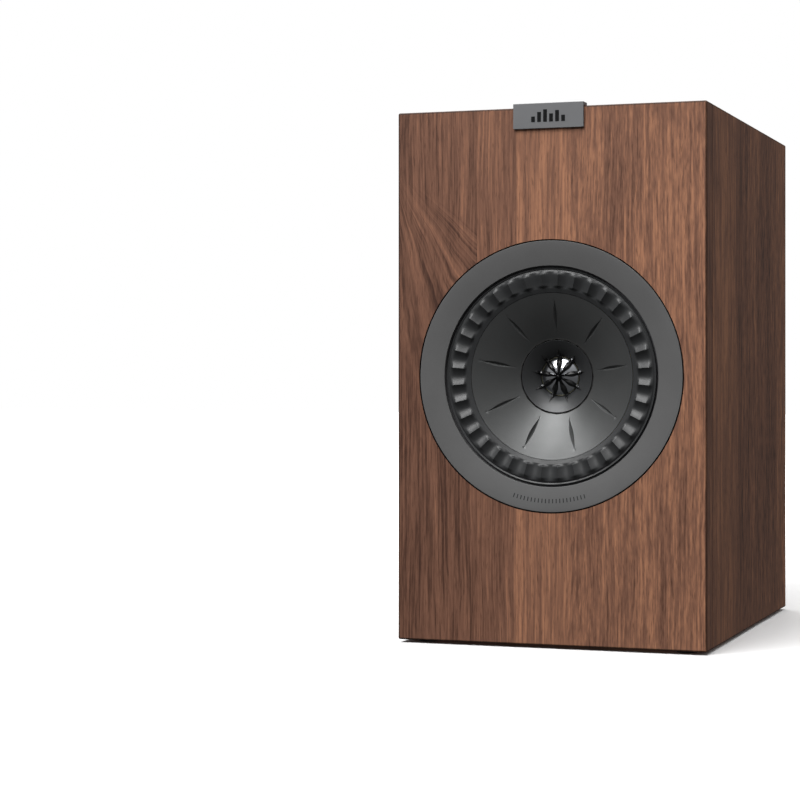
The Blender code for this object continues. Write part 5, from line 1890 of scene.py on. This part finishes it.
# ---------------------------------------------------------------- operators


class SPEAKER_OT_finishes(bpy.types.Operator):
    """Build the shared node groups, the materials and the geometry node trees"""

    bl_idname = "speaker.finishes"
    bl_label = "Finishes"

    def execute(self, context):
        build_mottle_group()
        build_ridge_group()
        build_turned_group()
        build_weave_group()
        build_veneer_group()
        build_plain_looks()
        build_turned_looks()
        build_wound_looks()
        build_cloth_look()
        build_veneer_looks(context.scene.speaker_cabinet)
        trees["ring"] = build_ring_tree()
        trees["corner"] = build_corner_tree()
        return {"FINISHED"}


class SPEAKER_OT_cabinet(bpy.types.Operator):
    """Build the veneered baffle, carcass and rear panel"""

    bl_idname = "speaker.cabinet"
    bl_label = "Cabinet"

    def execute(self, context):
        sizes = context.scene.speaker_cabinet
        build_baffle(sizes, context.scene.speaker_driver)
        build_carcass(sizes)
        build_rear_panel(sizes)
        return {"FINISHED"}


class SPEAKER_OT_feet(bpy.types.Operator):
    """Build the four rubber feet"""

    bl_idname = "speaker.feet"
    bl_label = "Feet"

    def execute(self, context):
        build_feet()
        return {"FINISHED"}


class SPEAKER_OT_badge(bpy.types.Operator):
    """Build the badge plate and its plain emblem"""

    bl_idname = "speaker.badge"
    bl_label = "Badge"

    def execute(self, context):
        build_badge(context.scene.speaker_cabinet)
        return {"FINISHED"}


class SPEAKER_OT_trim_ring(bpy.types.Operator):
    """Build the driver's trim ring and its tick marks"""

    bl_idname = "speaker.trim_ring"
    bl_label = "Trim Ring"

    def execute(self, context):
        build_trim_ring(context.scene.speaker_driver)
        return {"FINISHED"}


class SPEAKER_OT_woofer(bpy.types.Operator):
    """Build the ribbed surround, the creased cone and the spider"""

    bl_idname = "speaker.woofer"
    bl_label = "Woofer"

    def execute(self, context):
        sizes = context.scene.speaker_driver
        build_surround(sizes)
        build_cone(sizes)
        build_spider()
        return {"FINISHED"}


class SPEAKER_OT_tweeter(bpy.types.Operator):
    """Build the waveguide, the dome with its suspension, and the finned phase plug"""

    bl_idname = "speaker.tweeter"
    bl_label = "Tweeter"

    def execute(self, context):
        build_waveguide()
        build_dome()
        build_tweeter_suspension()
        build_phase_plug(context.scene.speaker_driver)
        return {"FINISHED"}


class SPEAKER_OT_port(bpy.types.Operator):
    """Build the port's flare and tube"""

    bl_idname = "speaker.port"
    bl_label = "Port"

    def execute(self, context):
        build_port(context.scene.speaker_rear)
        return {"FINISHED"}


class SPEAKER_OT_terminals(bpy.types.Operator):
    """Build the terminal plate, its screws and the two binding posts"""

    bl_idname = "speaker.terminals"
    bl_label = "Terminals"

    def execute(self, context):
        sizes = context.scene.speaker_rear
        build_terminal_plate()
        build_terminal_screws()
        build_post("red", "red_plastic", sizes)
        build_post("black", "black_plastic", sizes)
        return {"FINISHED"}


class SPEAKER_OT_inner_solids(bpy.types.Operator):
    """Give the solids inside the cabinet their finishes"""

    bl_idname = "speaker.inner_solids"
    bl_label = "Inner Solids"

    def execute(self, context):
        finish_inner_solids()
        return {"FINISHED"}


class SPEAKER_OT_stage(bpy.types.Operator):
    """Build the floor, the lights, the sky and the camera"""

    bl_idname = "speaker.stage"
    bl_label = "Stage"

    def execute(self, context):
        sizes = context.scene.speaker_stage
        build_floor(sizes)
        build_lights()
        build_world()
        build_camera(sizes)
        return {"FINISHED"}


STEPS = (
    SPEAKER_OT_finishes,
    SPEAKER_OT_cabinet,
    SPEAKER_OT_feet,
    SPEAKER_OT_badge,
    SPEAKER_OT_trim_ring,
    SPEAKER_OT_woofer,
    SPEAKER_OT_tweeter,
    SPEAKER_OT_port,
    SPEAKER_OT_terminals,
    SPEAKER_OT_inner_solids,
    SPEAKER_OT_stage,
)


class SPEAKER_PT_looks(bpy.types.Panel):
    """Lists the steps that build the speaker, and the sizes they use"""

    bl_idname = "SPEAKER_PT_looks"
    bl_label = "Speaker"
    bl_space_type = "VIEW_3D"
    bl_region_type = "UI"
    bl_category = "Speaker"

    def draw(self, context):
        for step in STEPS:
            self.layout.operator(step.bl_idname)
        for name in GROUPS:
            box = self.layout.box()
            sizes = getattr(context.scene, name)
            for label in sizes.__annotations__:
                box.prop(sizes, label)


GROUPS = {
    "speaker_cabinet": SpeakerCabinetSizes,
    "speaker_driver": SpeakerDriverSizes,
    "speaker_rear": SpeakerRearSizes,
    "speaker_stage": SpeakerStageSizes,
}


def register():
    for name, kind in GROUPS.items():
        bpy.utils.register_class(kind)
        setattr(bpy.types.Scene, name, bpy.props.PointerProperty(type=kind))
    for kind in STEPS + (SPEAKER_PT_looks,):
        bpy.utils.register_class(kind)


def unregister():
    for kind in (SPEAKER_PT_looks,) + tuple(reversed(STEPS)):
        bpy.utils.unregister_class(kind)
    for name, kind in GROUPS.items():
        delattr(bpy.types.Scene, name)
        bpy.utils.unregister_class(kind)


def main():
    register()
    bpy.ops.speaker.finishes()
    bpy.ops.speaker.cabinet()
    bpy.ops.speaker.feet()
    bpy.ops.speaker.badge()
    bpy.ops.speaker.trim_ring()
    bpy.ops.speaker.woofer()
    bpy.ops.speaker.tweeter()
    bpy.ops.speaker.port()
    bpy.ops.speaker.terminals()
    bpy.ops.speaker.inner_solids()
    bpy.ops.speaker.stage()


if __name__ == "__main__":
    main()
